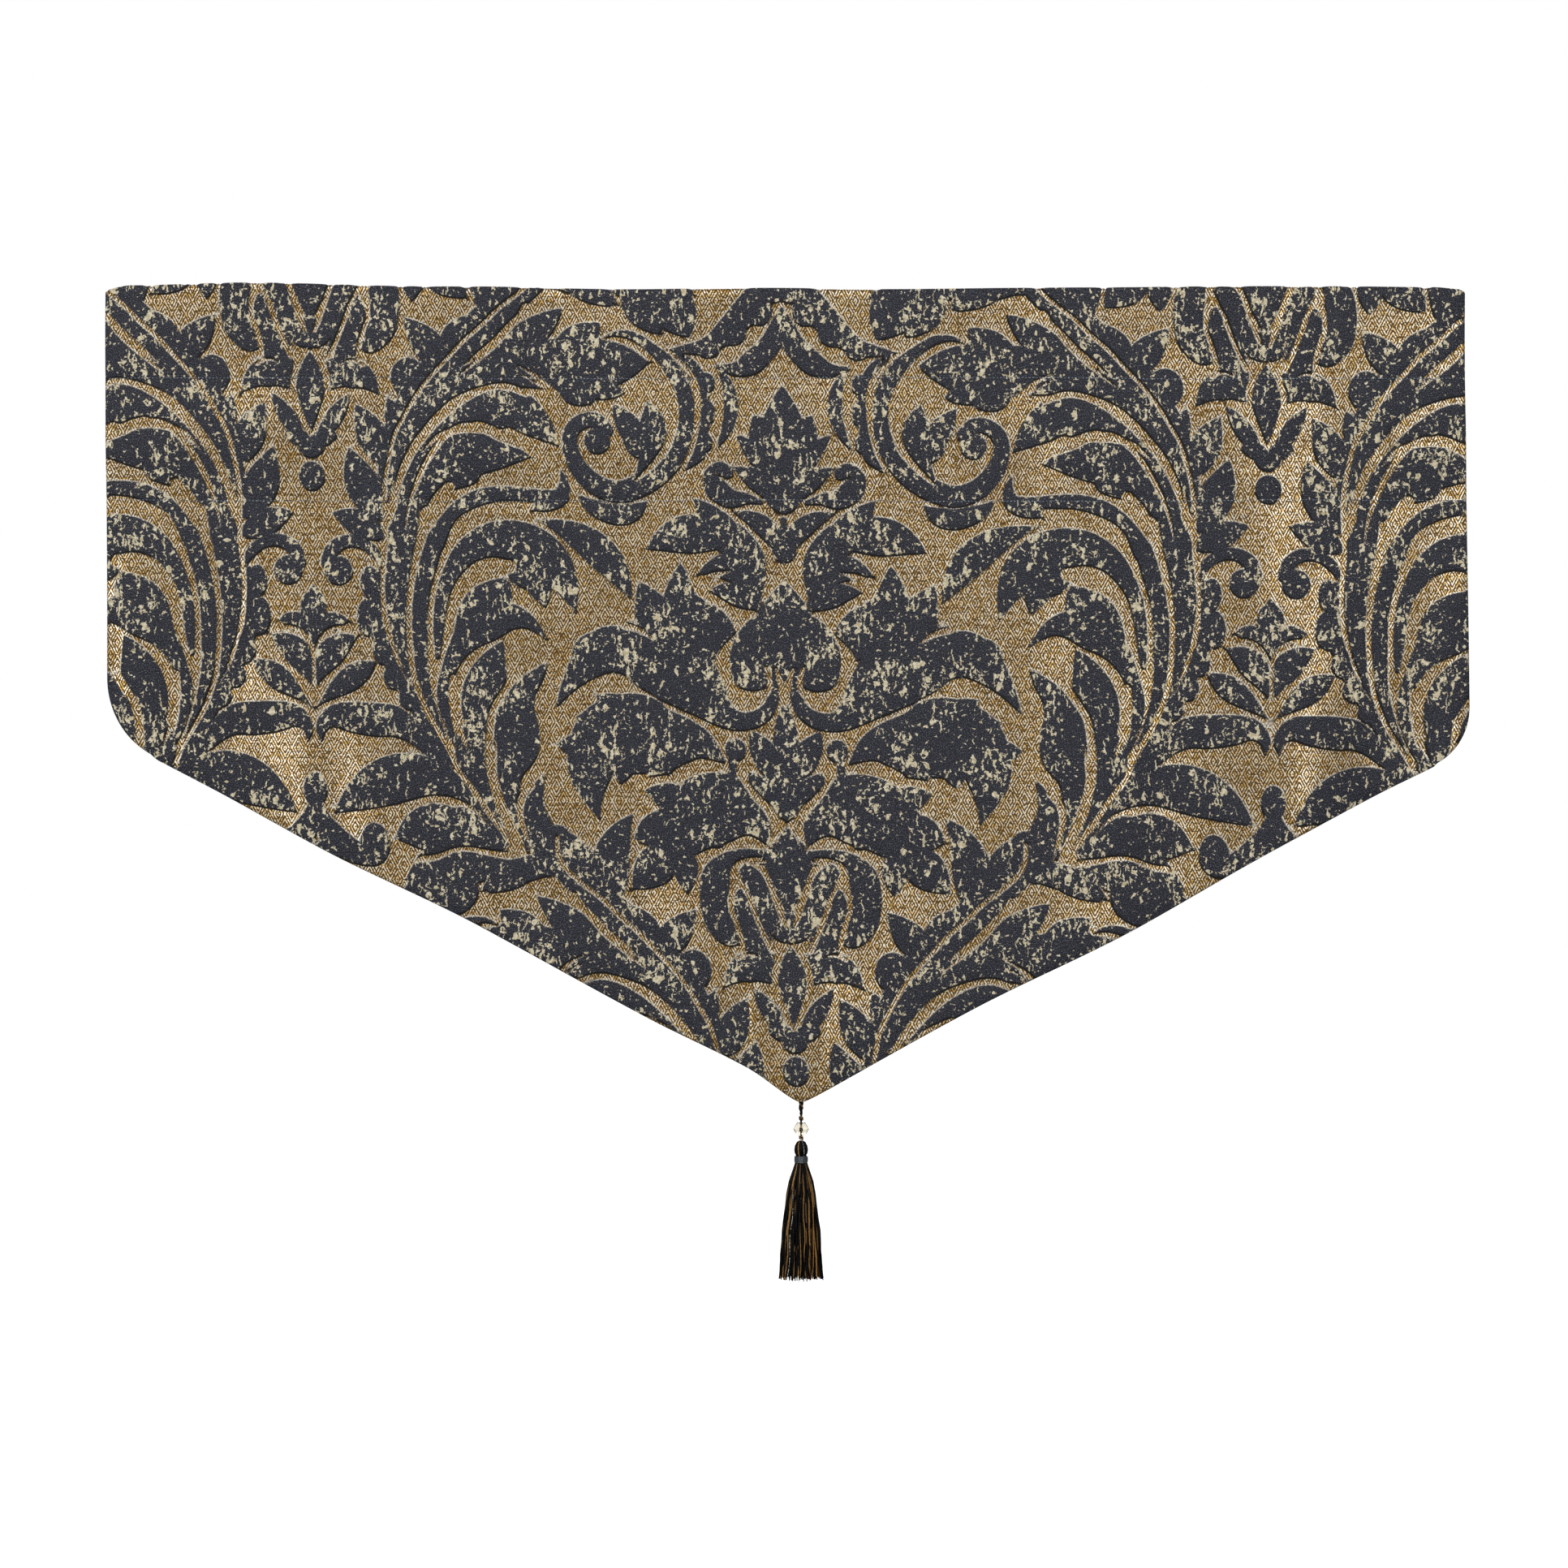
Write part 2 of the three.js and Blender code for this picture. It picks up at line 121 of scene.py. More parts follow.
def soft_path(points: Array, per_span: int) -> Array:
    """Draw a soft line through points.

    Args:
        points: One row for each point, with any columns.
        per_span: Steps from one point to the next.

    Returns:
        The line's points, with the same columns.
    """
    padded = np.vstack([2 * points[0] - points[1], points, 2 * points[-1] - points[-2]])
    step = np.linspace(0.0, 1.0, per_span, endpoint=False)[:, None]
    spans = []
    for index in range(1, len(padded) - 2):
        before, start, end, after = padded[index - 1:index + 3]
        bend = 2 * before - 5 * start + 4 * end - after
        turn = 3 * start - before - 3 * end + after
        spans.append(0.5 * (2 * start + (end - before) * step + bend * step ** 2 + turn * step ** 3))
    spans.append(points[-1:])
    return np.vstack(spans)


def walk(points: Array, pitch: float) -> Array:
    """Set points along a line at an even pitch.

    Args:
        points: The line.
        pitch: Wanted distance between points.

    Returns:
        The new points, both ends kept.
    """
    reach = np.concatenate([[0.0], np.cumsum(np.linalg.norm(np.diff(points, axis=0), axis=1))])
    count = max(2, int(round(reach[-1] / pitch)) + 1)
    stops = np.linspace(0.0, reach[-1], count)
    return np.stack([np.interp(stops, reach, points[:, axis]) for axis in range(points.shape[1])], axis=1)


def inside(points: Array, outline: Array) -> Array:
    """Say which points lie inside a closed outline.

    Args:
        points: Points to test.
        outline: Corners of the outline.

    Returns:
        True for each point that the outline winds round.
    """
    low, high = outline.min(axis=0), outline.max(axis=0)
    found = np.zeros(len(points), bool)
    near = np.nonzero(np.all((points >= low) & (points <= high), axis=1))[0]
    if not len(near):
        return found
    x, y = points[near, 0][:, None], points[near, 1][:, None]
    start, end = outline, np.roll(outline, -1, axis=0)
    side = (end[:, 0] - start[:, 0]) * (y - start[:, 1]) - (x - start[:, 0]) * (end[:, 1] - start[:, 1])
    rising = (start[:, 1] <= y) & (end[:, 1] > y) & (side > 0)
    falling = (start[:, 1] > y) & (end[:, 1] <= y) & (side < 0)
    found[near] = rising.sum(axis=1) != falling.sum(axis=1)
    return found


def headings(spans: Array) -> tuple[Array, Array]:
    """Give each flat span a length of one, and the same turned left."""
    along = spans / np.maximum(np.linalg.norm(spans, axis=1), 1e-6)[:, None]
    return along, np.stack([-along[:, 1], along[:, 0]], axis=1)


def tree_of(points: Array) -> KDTree:
    """Make a search tree of flat points.

    Args:
        points: Two columns.

    Returns:
        The balanced tree.
    """
    tree = KDTree(len(points))
    for index, (x, y) in enumerate(points.tolist()):
        tree.insert((x, y, 0.0), index)
    tree.balance()
    return tree


def nearest(tree: KDTree, points: Array) -> tuple[Array, Array]:
    """Say which stored point is nearest to each of many, and how far it is."""
    found = [tree.find((x, y, 0.0)) for x, y in points.tolist()]
    return np.array([hit[1] for hit in found], int), np.array([hit[2] for hit in found], float)


def dye(colour: Colour) -> tuple[float, float, float, float]:
    """Turn a screen colour of 0 to 255 into a light value.

    Args:
        colour: Red, green and blue.

    Returns:
        The linear colour with full cover.
    """
    parts = [part / 255.0 for part in colour]
    linear = [part / 12.92 if part <= 0.04045 else ((part + 0.055) / 1.055) ** 2.4 for part in parts]
    return linear[0], linear[1], linear[2], 1.0


def new_mesh(name: str, points: Array, faces: Array | list[list[int]]) -> bpy.types.Mesh:
    """Make a mesh from millimetre points.

    Args:
        name: The mesh's name.
        points: Three columns, in millimetres.
        faces: Corner numbers of each face.

    Returns:
        The mesh, in metres.
    """
    mesh = bpy.data.meshes.new(name)
    listed = faces.tolist() if isinstance(faces, Array) else faces
    mesh.from_pydata((points * MM).tolist(), [], listed)
    mesh.update()
    return mesh


def store(mesh: bpy.types.Mesh, name: str, values: Array, kind: str = "FLOAT", domain: str = "POINT") -> None:
    """Store one value for each element of a mesh.

    Args:
        mesh: The mesh.
        name: The attribute's name.
        values: Numbers, rows of numbers, or choices.
        kind: Blender's name for the kind of value.
        domain: Blender's name for the kind of element.
    """
    layer = mesh.attributes.new(name, kind, domain)
    plain = values if values.dtype == bool else values.astype(np.float32)
    layer.data.foreach_set("vector" if values.ndim > 1 else "value", plain.ravel())


def show(name: str, mesh: bpy.types.Mesh) -> Piece:
    """Put a mesh in the scene as a piece at the origin.

    Args:
        name: The piece's name.
        mesh: Its mesh.

    Returns:
        The piece.
    """
    piece = bpy.data.objects.new(name, mesh)
    bpy.context.scene.collection.objects.link(piece)
    return piece


def wind(axis: Point, radius: float | Array, turn: Array, height: float | Array) -> Array:
    """Set points round an upright axis, each at its radius, turn and height."""
    x, y = axis[0] + radius * np.cos(turn), axis[1] + radius * np.sin(turn)
    return np.stack([x, y, np.broadcast_to(height, turn.shape)], axis=1)


def enter(piece: Piece, slot: Slot, *nodes: str) -> Piece:
    """Tie a finished piece to the frame and report it.

    Args:
        piece: The piece, with its place in its mesh.
        slot: The record slot of its finish.
        nodes: The solids that it stands for.

    Returns:
        The same piece.
    """
    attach(piece, "root")
    if nodes:
        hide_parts(*nodes)
    triangles = sum(len(face.vertices) - 2 for face in piece.data.polygons)
    LOG.info("%s: %d triangles, slot %s", piece.name, triangles, slot.value)
    return piece


class NodeMaker:
    """A node tree with a short way to add a node."""

    def __init__(self, tree: bpy.types.NodeTree) -> None:
        """Work on that tree."""
        self.tree = tree

    def feed(self, socket: Socket, value: object) -> None:
        """Give an input a link or a fixed value.

        Args:
            socket: The input.
            value: Another node's output, a number or a colour.
        """
        if isinstance(value, Socket):
            self.tree.links.new(value, socket)
        else:
            socket.default_value = value

    def add(self, kind: str, *values: object, **settings: object) -> bpy.types.NodeOutputs:
        """Add a node.

        Args:
            kind: Blender's name for the node.
            values: Its first inputs, each a fixed value or another node's output.
            settings: Its own settings in small letters, and more inputs by name, with _ for a space.

        Returns:
            The node's outputs.
        """
        node = self.tree.nodes.new(kind)
        for name in [name for name in settings if name.islower()]:
            setattr(node, name, settings.pop(name))
        for socket, value in zip(node.inputs, values):
            self.feed(socket, value)
        for name, value in settings.items():
            self.feed(node.inputs[name.replace("_", " ")], value)
        return node.outputs


class Recipe(NodeMaker):
    """A finish, with short ways to add what it is mixed from."""

    def __init__(self, name: str) -> None:
        """Start an empty finish of that name."""
        self.material = bpy.data.materials.new(name)
        self.material.use_nodes = True
        super().__init__(self.material.node_tree)
        self.shader = self.tree.nodes["Principled BSDF"]

    def sum(self, work: Work, *values: object) -> Socket:
        """Do one sum on numbers or outputs."""
        return self.add("ShaderNodeMath", *values, operation=work.value)[0]

    def step(self, value: object, low: float, high: float, start: float = 0.0, end: float = 1.0) -> Socket:
        """Step softly from start at low to end at high."""
        stops = (value, low, high, start, end)
        return self.add("ShaderNodeMapRange", *stops, interpolation_type="SMOOTHSTEP")[0]

    def mix(self, share: object, low: object, high: object) -> Socket:
        """Mix two colours.

        Args:
            share: How much of the second.
            low: First colour.
            high: Second colour.

        Returns:
            The mixed colour's output.
        """
        node = self.tree.nodes.new("ShaderNodeMix")
        node.data_type = "RGBA"
        for index, value in ((0, share), (6, low), (7, high)):
            self.feed(node.inputs[index], value)
        return node.outputs[2]

    def noise(self, place: object, scale: float, detail: float = 2.0, rough: float = 0.5) -> Socket:
        """Add clouds from 0 to 1, with a number of finer layers and the strength of those."""
        return self.add("ShaderNodeTexNoise", Vector=place, Scale=scale, Detail=detail, Roughness=rough)[0]

    def shake(self, place: object, scale: float, reach: float) -> Socket:
        """Push coordinates about at random, by up to half the reach to each side."""
        cloud = self.add("ShaderNodeTexNoise", Vector=place, Scale=scale, Detail=2.0)["Color"]
        return self.add("ShaderNodeVectorMath", cloud, (reach, reach, 0), place, operation="MULTIPLY_ADD")[0]

    def cells(self, place: object) -> Socket:
        """Break a surface into cells about a unit wide, each with a chance number of its own."""
        cell = self.add("ShaderNodeTexVoronoi", voronoi_dimensions="2D", Vector=place, Scale=1.0)
        return self.add("ShaderNodeSeparateColor", cell["Color"])[0]

    def threads(self, place: object, size: Point) -> Socket:
        """Step coordinates from one thread crossing to the next."""
        return self.add("ShaderNodeVectorMath", place, (*size, 1.0), operation="SNAP")[0]

    def dice(self, place: object) -> Socket:
        """Give every place a chance number from 0 to 1."""
        return self.add("ShaderNodeTexWhiteNoise", noise_dimensions="2D", Vector=place)["Value"]

    def stretch(self, place: object, scale: tuple[float, float, float], turn: float = 0.0) -> Socket:
        """Stretch coordinates, and turn them about the third axis by some degrees."""
        turns = (0.0, 0.0, math.radians(turn))
        return self.add("ShaderNodeMapping", Vector=place, Scale=scale, Rotation=turns)[0]

    def attribute(self, name: str, vector: bool = False) -> Socket:
        """Read a number or a vector that the mesh carries."""
        return self.add("ShaderNodeAttribute", attribute_name=name)["Vector" if vector else "Fac"]

    def place(self) -> Socket:
        """Give Object coordinates."""
        return self.add("ShaderNodeTexCoord")["Object"]

    def axes(self, place: object) -> tuple[Socket, Socket]:
        """Split coordinates into their first two axes."""
        parts = self.add("ShaderNodeSeparateXYZ", place)
        return parts[0], parts[1]

    def bump(self, height: object, depth: float, strength: float = 1.0) -> None:
        """Raise the surface's shading by a height from 0 to 1, of a depth in millimetres."""
        raised = self.add("ShaderNodeBump", Strength=strength, Distance=depth * MM, Height=height)
        self.feed(self.shader.inputs["Normal"], raised[0])

    def finish(self, **values: object) -> bpy.types.Material:
        """Set the shader's inputs.

        Args:
            values: Input names, with _ for a space, and their numbers or outputs.

        Returns:
            The finished material.
        """
        for name, value in values.items():
            self.feed(self.shader.inputs[name.replace("_", " ")], value)
        return self.material


@dataclass(frozen=True)
class FleckLayer:
    """One kind of light fleck: its size, its slant, and its cover in plain and in crowded parts."""

    size: Point
    turn: float
    plain: float
    crowded: float


@dataclass(frozen=True)
class DamaskFinish:
    """Gold ring-diamond ground with a dark, flecked figure on it, painted shadow and highlight along the
    figure's edges, and painted glints on the gold.
    """

    gold_thread: Colour = (238, 194, 107)
    # Near-white painted glint on the gold threads.
    gold_painted_glint: Colour = (255, 249, 230)
    gold_gap: Colour = (82, 55, 20)
    thread_metal: float = 0.7
    figure_dark: Colour = (7, 7, 9)
    figure_mid: Colour = (47, 48, 58)
    figure_pale: Colour = (134, 138, 154)
    fleck: Colour = (240, 232, 208)
    fleck_dull: Colour = (196, 179, 136)
    # Painted shadow under the figure's edges that face away from the light, and painted highlight beside
    # those that face it.
    painted_shadow_colour: Colour = (8, 7, 8)
    painted_highlight_colour: Colour = (255, 250, 238)
    # Strength of the painted edge highlight, and of the painted edge shadow on the ground and on the figure.
    highlight_strength: float = 0.55
    ground_shadow_strength: float = 0.96
    figure_shadow_strength: float = 0.95
    reverse_gap: Colour = (126, 114, 96)
    reverse_thread: Colour = (60, 58, 63)
    reverse_dull: Colour = (122, 102, 72)
    reverse_pale: Colour = (206, 184, 146)
    reverse_fleck: Colour = (70, 66, 68)
    diamond: Point = (8.6, 16.2)
    rings: float = 2.5
    ring_step: Point = (0.25, 0.55)
    crossing: Point = (1.1, 0.8)
    hole_turn: float = -30.0
    hole_share: float = 0.18
    fleck_layers: tuple[FleckLayer, ...] = (
        FleckLayer((2.8, 4.0), 22.0, 0.006, 0.13),
        FleckLayer((1.1, 5.0), 14.0, 0.012, 0.085),
        FleckLayer((0.7, 3.4), 35.0, 0.006, 0.06),
        FleckLayer((1.7, 1.2), -20.0, 0.012, 0.06),
        FleckLayer((0.8, 0.9), 8.0, 0.03, 0.06),
    )

    def _rings(self, recipe: Recipe, cloth: object) -> Socket:
        """Draw the ground's nested diamonds.

        Args:
            recipe: The finish to add to.
            cloth: Flat cloth coordinates in millimetres.

        Returns:
            1 on a light thread and 0 in a gap.
        """
        x, drop = recipe.axes(recipe.threads(cloth, self.ring_step))
        across = recipe.sum(Work.SHARE, x, self.diamond[0])
        down = recipe.sum(Work.SHARE, drop, self.diamond[1])
        reaches = []
        for work in (Work.ADD, Work.TAKE):
            part = recipe.sum(Work.PART, recipe.sum(work, across, down))
            reaches.append(recipe.sum(Work.SIZE, recipe.sum(Work.TAKE, part, 0.5)))
        out = recipe.sum(Work.MOST, *reaches)
        ring = recipe.sum(Work.TIMES, out, 2.0 * self.rings)
        slub = recipe.sum(Work.TIMES, recipe.sum(Work.TAKE, recipe.noise(cloth, 0.9, 1.0), 0.5), 0.5)
        ring = recipe.sum(Work.PART, recipe.sum(Work.ADD, ring, slub))
        line = recipe.sum(Work.SIZE, recipe.sum(Work.TAKE, ring, 0.5))
        return recipe.step(line, 0.12, 0.34, 1.0, 0.0)

    def _flecks(self, recipe: Recipe, cloth: object) -> Socket:
        """Scatter the figure's torn light patches, strokes and specks in uneven clusters.

        Args:
            recipe: The finish to add to.
            cloth: Flat cloth coordinates in millimetres.

        Returns:
            1 where the light thread shows.
        """
        crowd = recipe.step(recipe.noise(cloth, 0.035, 2.0, 0.6), 0.42, 0.64)
        torn = recipe.shake(recipe.shake(recipe.shake(cloth, 0.2, 4.0), 0.6, 2.4), 1.6, 1.0)
        cover: object = 0.0
        for layer in self.fleck_layers:
            scale = (1.0 / layer.size[0], 1.0 / layer.size[1], 1.0)
            cell = recipe.cells(recipe.stretch(torn, scale, layer.turn))
            bar = recipe.step(crowd, 0.0, 1.0, layer.plain, layer.crowded)
            cover = recipe.sum(Work.MOST, cover, recipe.sum(Work.BELOW, cell, bar))
        worn = recipe.cells(recipe.stretch(torn, (1.1, 0.8, 1.0), self.hole_turn))
        holes = recipe.sum(Work.BELOW, worn, self.hole_share)
        return recipe.sum(Work.TIMES, cover, recipe.sum(Work.TAKE, 1.0, holes))

    def _painted_edge_light(self, recipe: Recipe, cloth: object, speck: object) -> tuple[Socket, Socket]:
        """Find where shade and light are painted along the figure's edges.

        Args:
            recipe: The finish to add to.
            cloth: Flat cloth coordinates in millimetres.
            speck: Chance number of each thread crossing.

        Returns:
            Shares of the painted shadow under an edge and of the painted highlight beside one.
        """
        fray = recipe.sum(Work.TIMES, recipe.sum(Work.TAKE, recipe.noise(cloth, 1.1, 2.0), 0.5), 0.8)
        reach = recipe.sum(Work.ADD, recipe.attribute("reach"), fray)
        shadow_facing = recipe.attribute("shadow_facing")
        # Painted shadow along edges that face away from the light.
        faces_away_from_light = recipe.step(shadow_facing, 0.3, 0.7)
        under = recipe.sum(Work.TIMES, recipe.step(reach, 0.62, 0.8, 1.0, 0.0), faces_away_from_light)
        # Painted highlight, in dots, beside edges that face the light.
        faces_light = recipe.step(shadow_facing, -0.5, -0.1, 1.0, 0.0)
        dotted_highlight = recipe.sum(Work.TIMES, faces_light, recipe.step(speck, 0.1, 0.6, 0.45, 1.0))
        highlight_mask = recipe.sum(Work.TIMES, recipe.step(reach, 0.65, 1.05, 1.0, 0.0), dotted_highlight)
        return under, highlight_mask

    def _ground(self, recipe: Recipe, cloth: object, rings: object, speck: object) -> Socket:
        """Colour the gold ground thread by thread, with painted white glints scattered over its light
        threads.

        Args:
            recipe: The finish to add to.
            cloth: Flat cloth coordinates in millimetres.
            rings: 1 on a light thread and 0 in a gap.
            speck: Chance number of each thread crossing.

        Returns:
            The ground's colour.
        """
        cloud = recipe.noise(cloth, 0.03, 2.0)
        streak = recipe.noise(recipe.stretch(cloth, (0.07, 1.1, 1.0)), 1.0, 2.0, 0.6)
        light = recipe.sum(Work.TIMES, rings, recipe.step(speck, 0.0, 1.0, 0.2, 1.33))
        light = recipe.sum(Work.ADD, light, recipe.step(streak, 0.3, 0.7, -0.1, 0.1))
        gold = recipe.mix(recipe.step(light, 0.05, 0.55), dye(self.gold_gap), dye(self.gold_thread))
        # Painted glints: the brightest light-thread cells turn near white.
        gold = recipe.mix(recipe.step(light, 0.58, 0.92), gold, dye(self.gold_painted_glint))
        return recipe.mix(recipe.step(cloud, 0.35, 0.75, 0.0, 0.14), gold, dye(self.gold_gap))

    def _leaves(self, recipe: Recipe, cloth: object, grain: object) -> Socket:
        """Colour the dark figure and its flecks.

        Args:
            recipe: The finish to add to.
            cloth: Flat cloth coordinates in millimetres.
            grain: Height of the figure's own threads.

        Returns:
            The figure's colour.
        """
        dark = recipe.mix(recipe.step(grain, 0.42, 0.54), dye(self.figure_dark), dye(self.figure_mid))
        dark = recipe.mix(recipe.step(grain, 0.57, 0.66), dark, dye(self.figure_pale))
        tint = recipe.step(recipe.noise(cloth, 0.5, 3.0, 0.7), 0.35, 0.65)
        pale = recipe.mix(tint, dye(self.fleck_dull), dye(self.fleck))
        return recipe.mix(self._flecks(recipe, cloth), dark, pale)

    def face(self) -> bpy.types.Material:
        """Make the woven face of the cloth.

        Returns:
            The material.
        """
        recipe = Recipe("damask_face")
        cloth = recipe.attribute("cloth", True)
        ragged = recipe.step(recipe.noise(cloth, 1.4, 2.0, 0.7), 0.45, 0.75, 0.0, 0.7)
        flip = recipe.sum(Work.BELOW, recipe.attribute("reach"), ragged)
        figure = recipe.sum(Work.SIZE, recipe.sum(Work.TAKE, recipe.attribute("figure"), flip))
        speck = recipe.dice(recipe.threads(cloth, self.crossing))
        rings = self._rings(recipe, cloth)
        grain = recipe.noise(recipe.stretch(cloth, (1.7, 1.5, 1.0)), 1.0, 2.0, 0.8)
        under, highlight_mask = self._painted_edge_light(recipe, cloth, speck)
        gold = self._ground(recipe, cloth, rings, speck)
        # Painted highlight beside the edges that face the light, then painted shadow under those that face
        # away, on the ground and on the figure.
        gold = recipe.mix(recipe.sum(Work.TIMES, highlight_mask, self.highlight_strength), gold, dye(self.painted_highlight_colour))
        gold = recipe.mix(recipe.sum(Work.TIMES, under, self.ground_shadow_strength), gold, dye(self.painted_shadow_colour))
        dark = self._leaves(recipe, cloth, grain)
        dark = recipe.mix(recipe.sum(Work.TIMES, under, self.figure_shadow_strength), dark, dye(self.painted_shadow_colour))
        woven = recipe.sum(Work.TIMES, rings, recipe.sum(Work.TAKE, 1.0, figure))
        recipe.bump(recipe.sum(Work.ADD, woven, recipe.sum(Work.TIMES, grain, figure)), 0.16, 0.7)
        return recipe.finish(Base_Color=recipe.mix(figure, gold, dark),
                             Roughness=recipe.step(woven, 0.0, 1.0, 0.62, 0.33),
                             Metallic=recipe.sum(Work.TIMES, woven, self.thread_metal),
                             Specular_IOR_Level=0.3, Sheen_Weight=0.02, Sheen_Roughness=0.4)

    def reverse(self) -> bpy.types.Material:
        """Make the duller reverse, where ground and figure change places.

        Returns:
            The material.
        """
        recipe = Recipe("damask_reverse")
        cloth = recipe.attribute("cloth", True)
        rings = self._rings(recipe, cloth)
        grain = recipe.noise(recipe.stretch(cloth, (1.6, 0.8, 1.0)), 1.0, 3.0, 0.7)
        ground = recipe.mix(rings, dye(self.reverse_gap), dye(self.reverse_thread))
        pale = recipe.mix(recipe.step(grain, 0.36, 0.6), dye(self.reverse_dull), dye(self.reverse_pale))
        flecks = recipe.step(self._flecks(recipe, cloth), 0.2, 0.9, 0.0, 0.7)
        pale = recipe.mix(flecks, pale, dye(self.reverse_fleck))
        recipe.bump(recipe.sum(Work.ADD, grain, recipe.sum(Work.TIMES, rings, 0.4)), 0.2, 0.6)
        return recipe.finish(Base_Color=recipe.mix(recipe.attribute("figure"), ground, pale), Roughness=0.72,
                             Specular_IOR_Level=0.35, Sheen_Weight=0.1, Sheen_Roughness=0.5)


@dataclass(frozen=True)
class YarnFinish:
    """Yarn whose own shade number picks its colour."""

    name: str
    shades: tuple[tuple[float, Colour], ...]
    rough: float = 0.5
    gloss: float = 0.5
    twist: float = 900.0
    metal: float = 0.0
    relief: float = 0.26
    streak: Colour = (12, 11, 12)

    def make(self) -> bpy.types.Material:
        """Mix the yarn's colour from its shade, with fibre streaks and, on shades of 0.92 and up, dark breaks
        that leave painted glints in dots.

        Returns:
            The material.
        """
        recipe = Recipe(self.name)
        ramp = recipe.tree.nodes.new("ShaderNodeValToRGB")
        ramp.color_ramp.interpolation = "LINEAR"
        while len(ramp.color_ramp.elements) < len(self.shades):
            ramp.color_ramp.elements.new(0.5)
        for element, (place, tone) in zip(ramp.color_ramp.elements, self.shades):
            element.position = place
            element.color = dye(tone)
        shade = recipe.attribute("shade")
        recipe.feed(ramp.inputs[0], shade)
        fibre = recipe.noise(recipe.stretch(recipe.place(), (1.0, 1.0, 0.9)), self.twist, 3.0, 0.65)
        # Painted glints: on shades of 0.92 and up, dark breaks along the fibre leave the pale colour in dots;
        # on the tassel's silver yarns these are dotted white glints.
        glint_breaks = recipe.sum(Work.TIMES, recipe.step(fibre, 0.48, 0.54), recipe.step(shade, 0.92, 0.94))
        dim = recipe.sum(Work.MOST, recipe.step(fibre, 0.35, 0.75, 0.0, 0.5), glint_breaks)
        colour = recipe.mix(dim, ramp.outputs[0], dye(self.streak))
        recipe.bump(fibre, self.relief, 0.8)
        dull = recipe.step(fibre, 0.42, 0.56, self.rough, self.rough + 0.35)
        return recipe.finish(Base_Color=colour, Roughness=dull, Metallic=self.metal,
                             Specular_IOR_Level=self.gloss)


@dataclass(frozen=True)
class GlassFinish:
    """Clear cut glass."""

    tint: tuple[float, float, float, float] = (0.76, 0.72, 0.61, 1.0)
    rough: float = 0.02
    bend: float = 1.36

    def make(self) -> bpy.types.Material:
        """Make the glass with faint streaks in its polish.

        Returns:
            The material.
        """
        recipe = Recipe("cut_glass")
        polish = recipe.noise(recipe.place(), 420.0, 2.0)
        recipe.bump(polish, 0.01, 0.3)
        return recipe.finish(Base_Color=self.tint, Transmission_Weight=1.0, IOR=self.bend,
                             Roughness=recipe.step(polish, 0.3, 0.7, self.rough, self.rough + 0.03))


class PathTree(NodeMaker):
    """A Geometry Nodes tree with named inputs that makes yarn or stitches along drawn paths."""

    def __init__(self, name: str, result: str, **inputs: str) -> None:
        """Start the tree.

        Args:
            name: The tree's name.
            result: Name of its output.
            inputs: Kind of each named input.
        """
        super().__init__(bpy.data.node_groups.new(name, "GeometryNodeTree"))
        for label, kind in inputs.items():
            self.tree.interface.new_socket(label, in_out="INPUT", socket_type=f"NodeSocket{kind}")
        self.tree.interface.new_socket(result, in_out="OUTPUT", socket_type="NodeSocketGeometry")
        self.given = self.add("NodeGroupInput")

    def close(self, shape: Socket) -> None:
        """Realize the shape, smooth it, give it its finish and hand it out.

        Args:
            shape: What the tree made.
        """
        real = self.add("GeometryNodeRealizeInstances", shape)
        smooth = self.add("GeometryNodeSetShadeSmooth", real[0])
        paint = self.add("GeometryNodeSetMaterial", Geometry=smooth[0], Material=self.given["Finish"])
        self.add("NodeGroupOutput", paint[0])

    def grow(self, name: str, paths: list[Array], stouts: list[Array], shades: list[float],
             **sizes: object) -> Piece:
        """Draw open paths, run the tree on them and keep the result as a plain mesh.

        Args:
            name: The piece's name.
            paths: Points of each path, in millimetres.
            stouts: Half thickness at each point, in millimetres.
            shades: One shade number for each path.
            sizes: Value of each named input.

        Returns:
            The piece, with no modifier left on it.
        """
        edges, first = [], 0
        for path in paths:
            edges += [(first + step, first + step + 1) for step in range(len(path) - 1)]
            first += len(path)
        drawn = bpy.data.meshes.new(name)
        drawn.from_pydata((np.vstack(paths) * MM).tolist(), edges, [])
        store(drawn, "stout", np.concatenate(stouts) * MM)
        store(drawn, "shade", np.repeat(np.array(shades, float), [len(path) for path in paths]))
        piece = show(name, drawn)
        modifier = piece.modifiers.new(self.tree.name, "NODES")
        modifier.node_group = self.tree
        for item in self.tree.interface.items_tree:
            if item.in_out == "INPUT" and item.name in sizes:
                modifier[item.identifier] = sizes[item.name]
        graph = bpy.context.evaluated_depsgraph_get()
        made = bpy.data.meshes.new_from_object(piece.evaluated_get(graph), preserve_all_data_layers=True,
                                               depsgraph=graph)
        piece.modifiers.clear()
        piece.data = made
        made.name = name
        return piece


class YarnTree(PathTree):
    """Sweeps a round yarn along every drawn path."""

    def __init__(self) -> None:
        """Build the tree with its named inputs."""
        super().__init__("yarn_sweep", "Yarns", Paths="Geometry", Sides="Int", Thickness="Float",
                         Finish="Material")
        given, add = self.given, self.add
        curve = add("GeometryNodeMeshToCurve", Mesh=given["Paths"])
        ring = add("GeometryNodeCurvePrimitiveCircle", Resolution=given["Sides"], Radius=1.0)
        stout = add("GeometryNodeInputNamedAttribute", data_type="FLOAT", Name="stout")
        size = add("ShaderNodeMath", stout["Attribute"], given["Thickness"], operation="MULTIPLY")
        sweep = add("GeometryNodeCurveToMesh", Curve=curve["Curve"], Profile_Curve=ring["Curve"],
                    Scale=size[0], Fill_Caps=True)
        self.close(sweep["Mesh"])


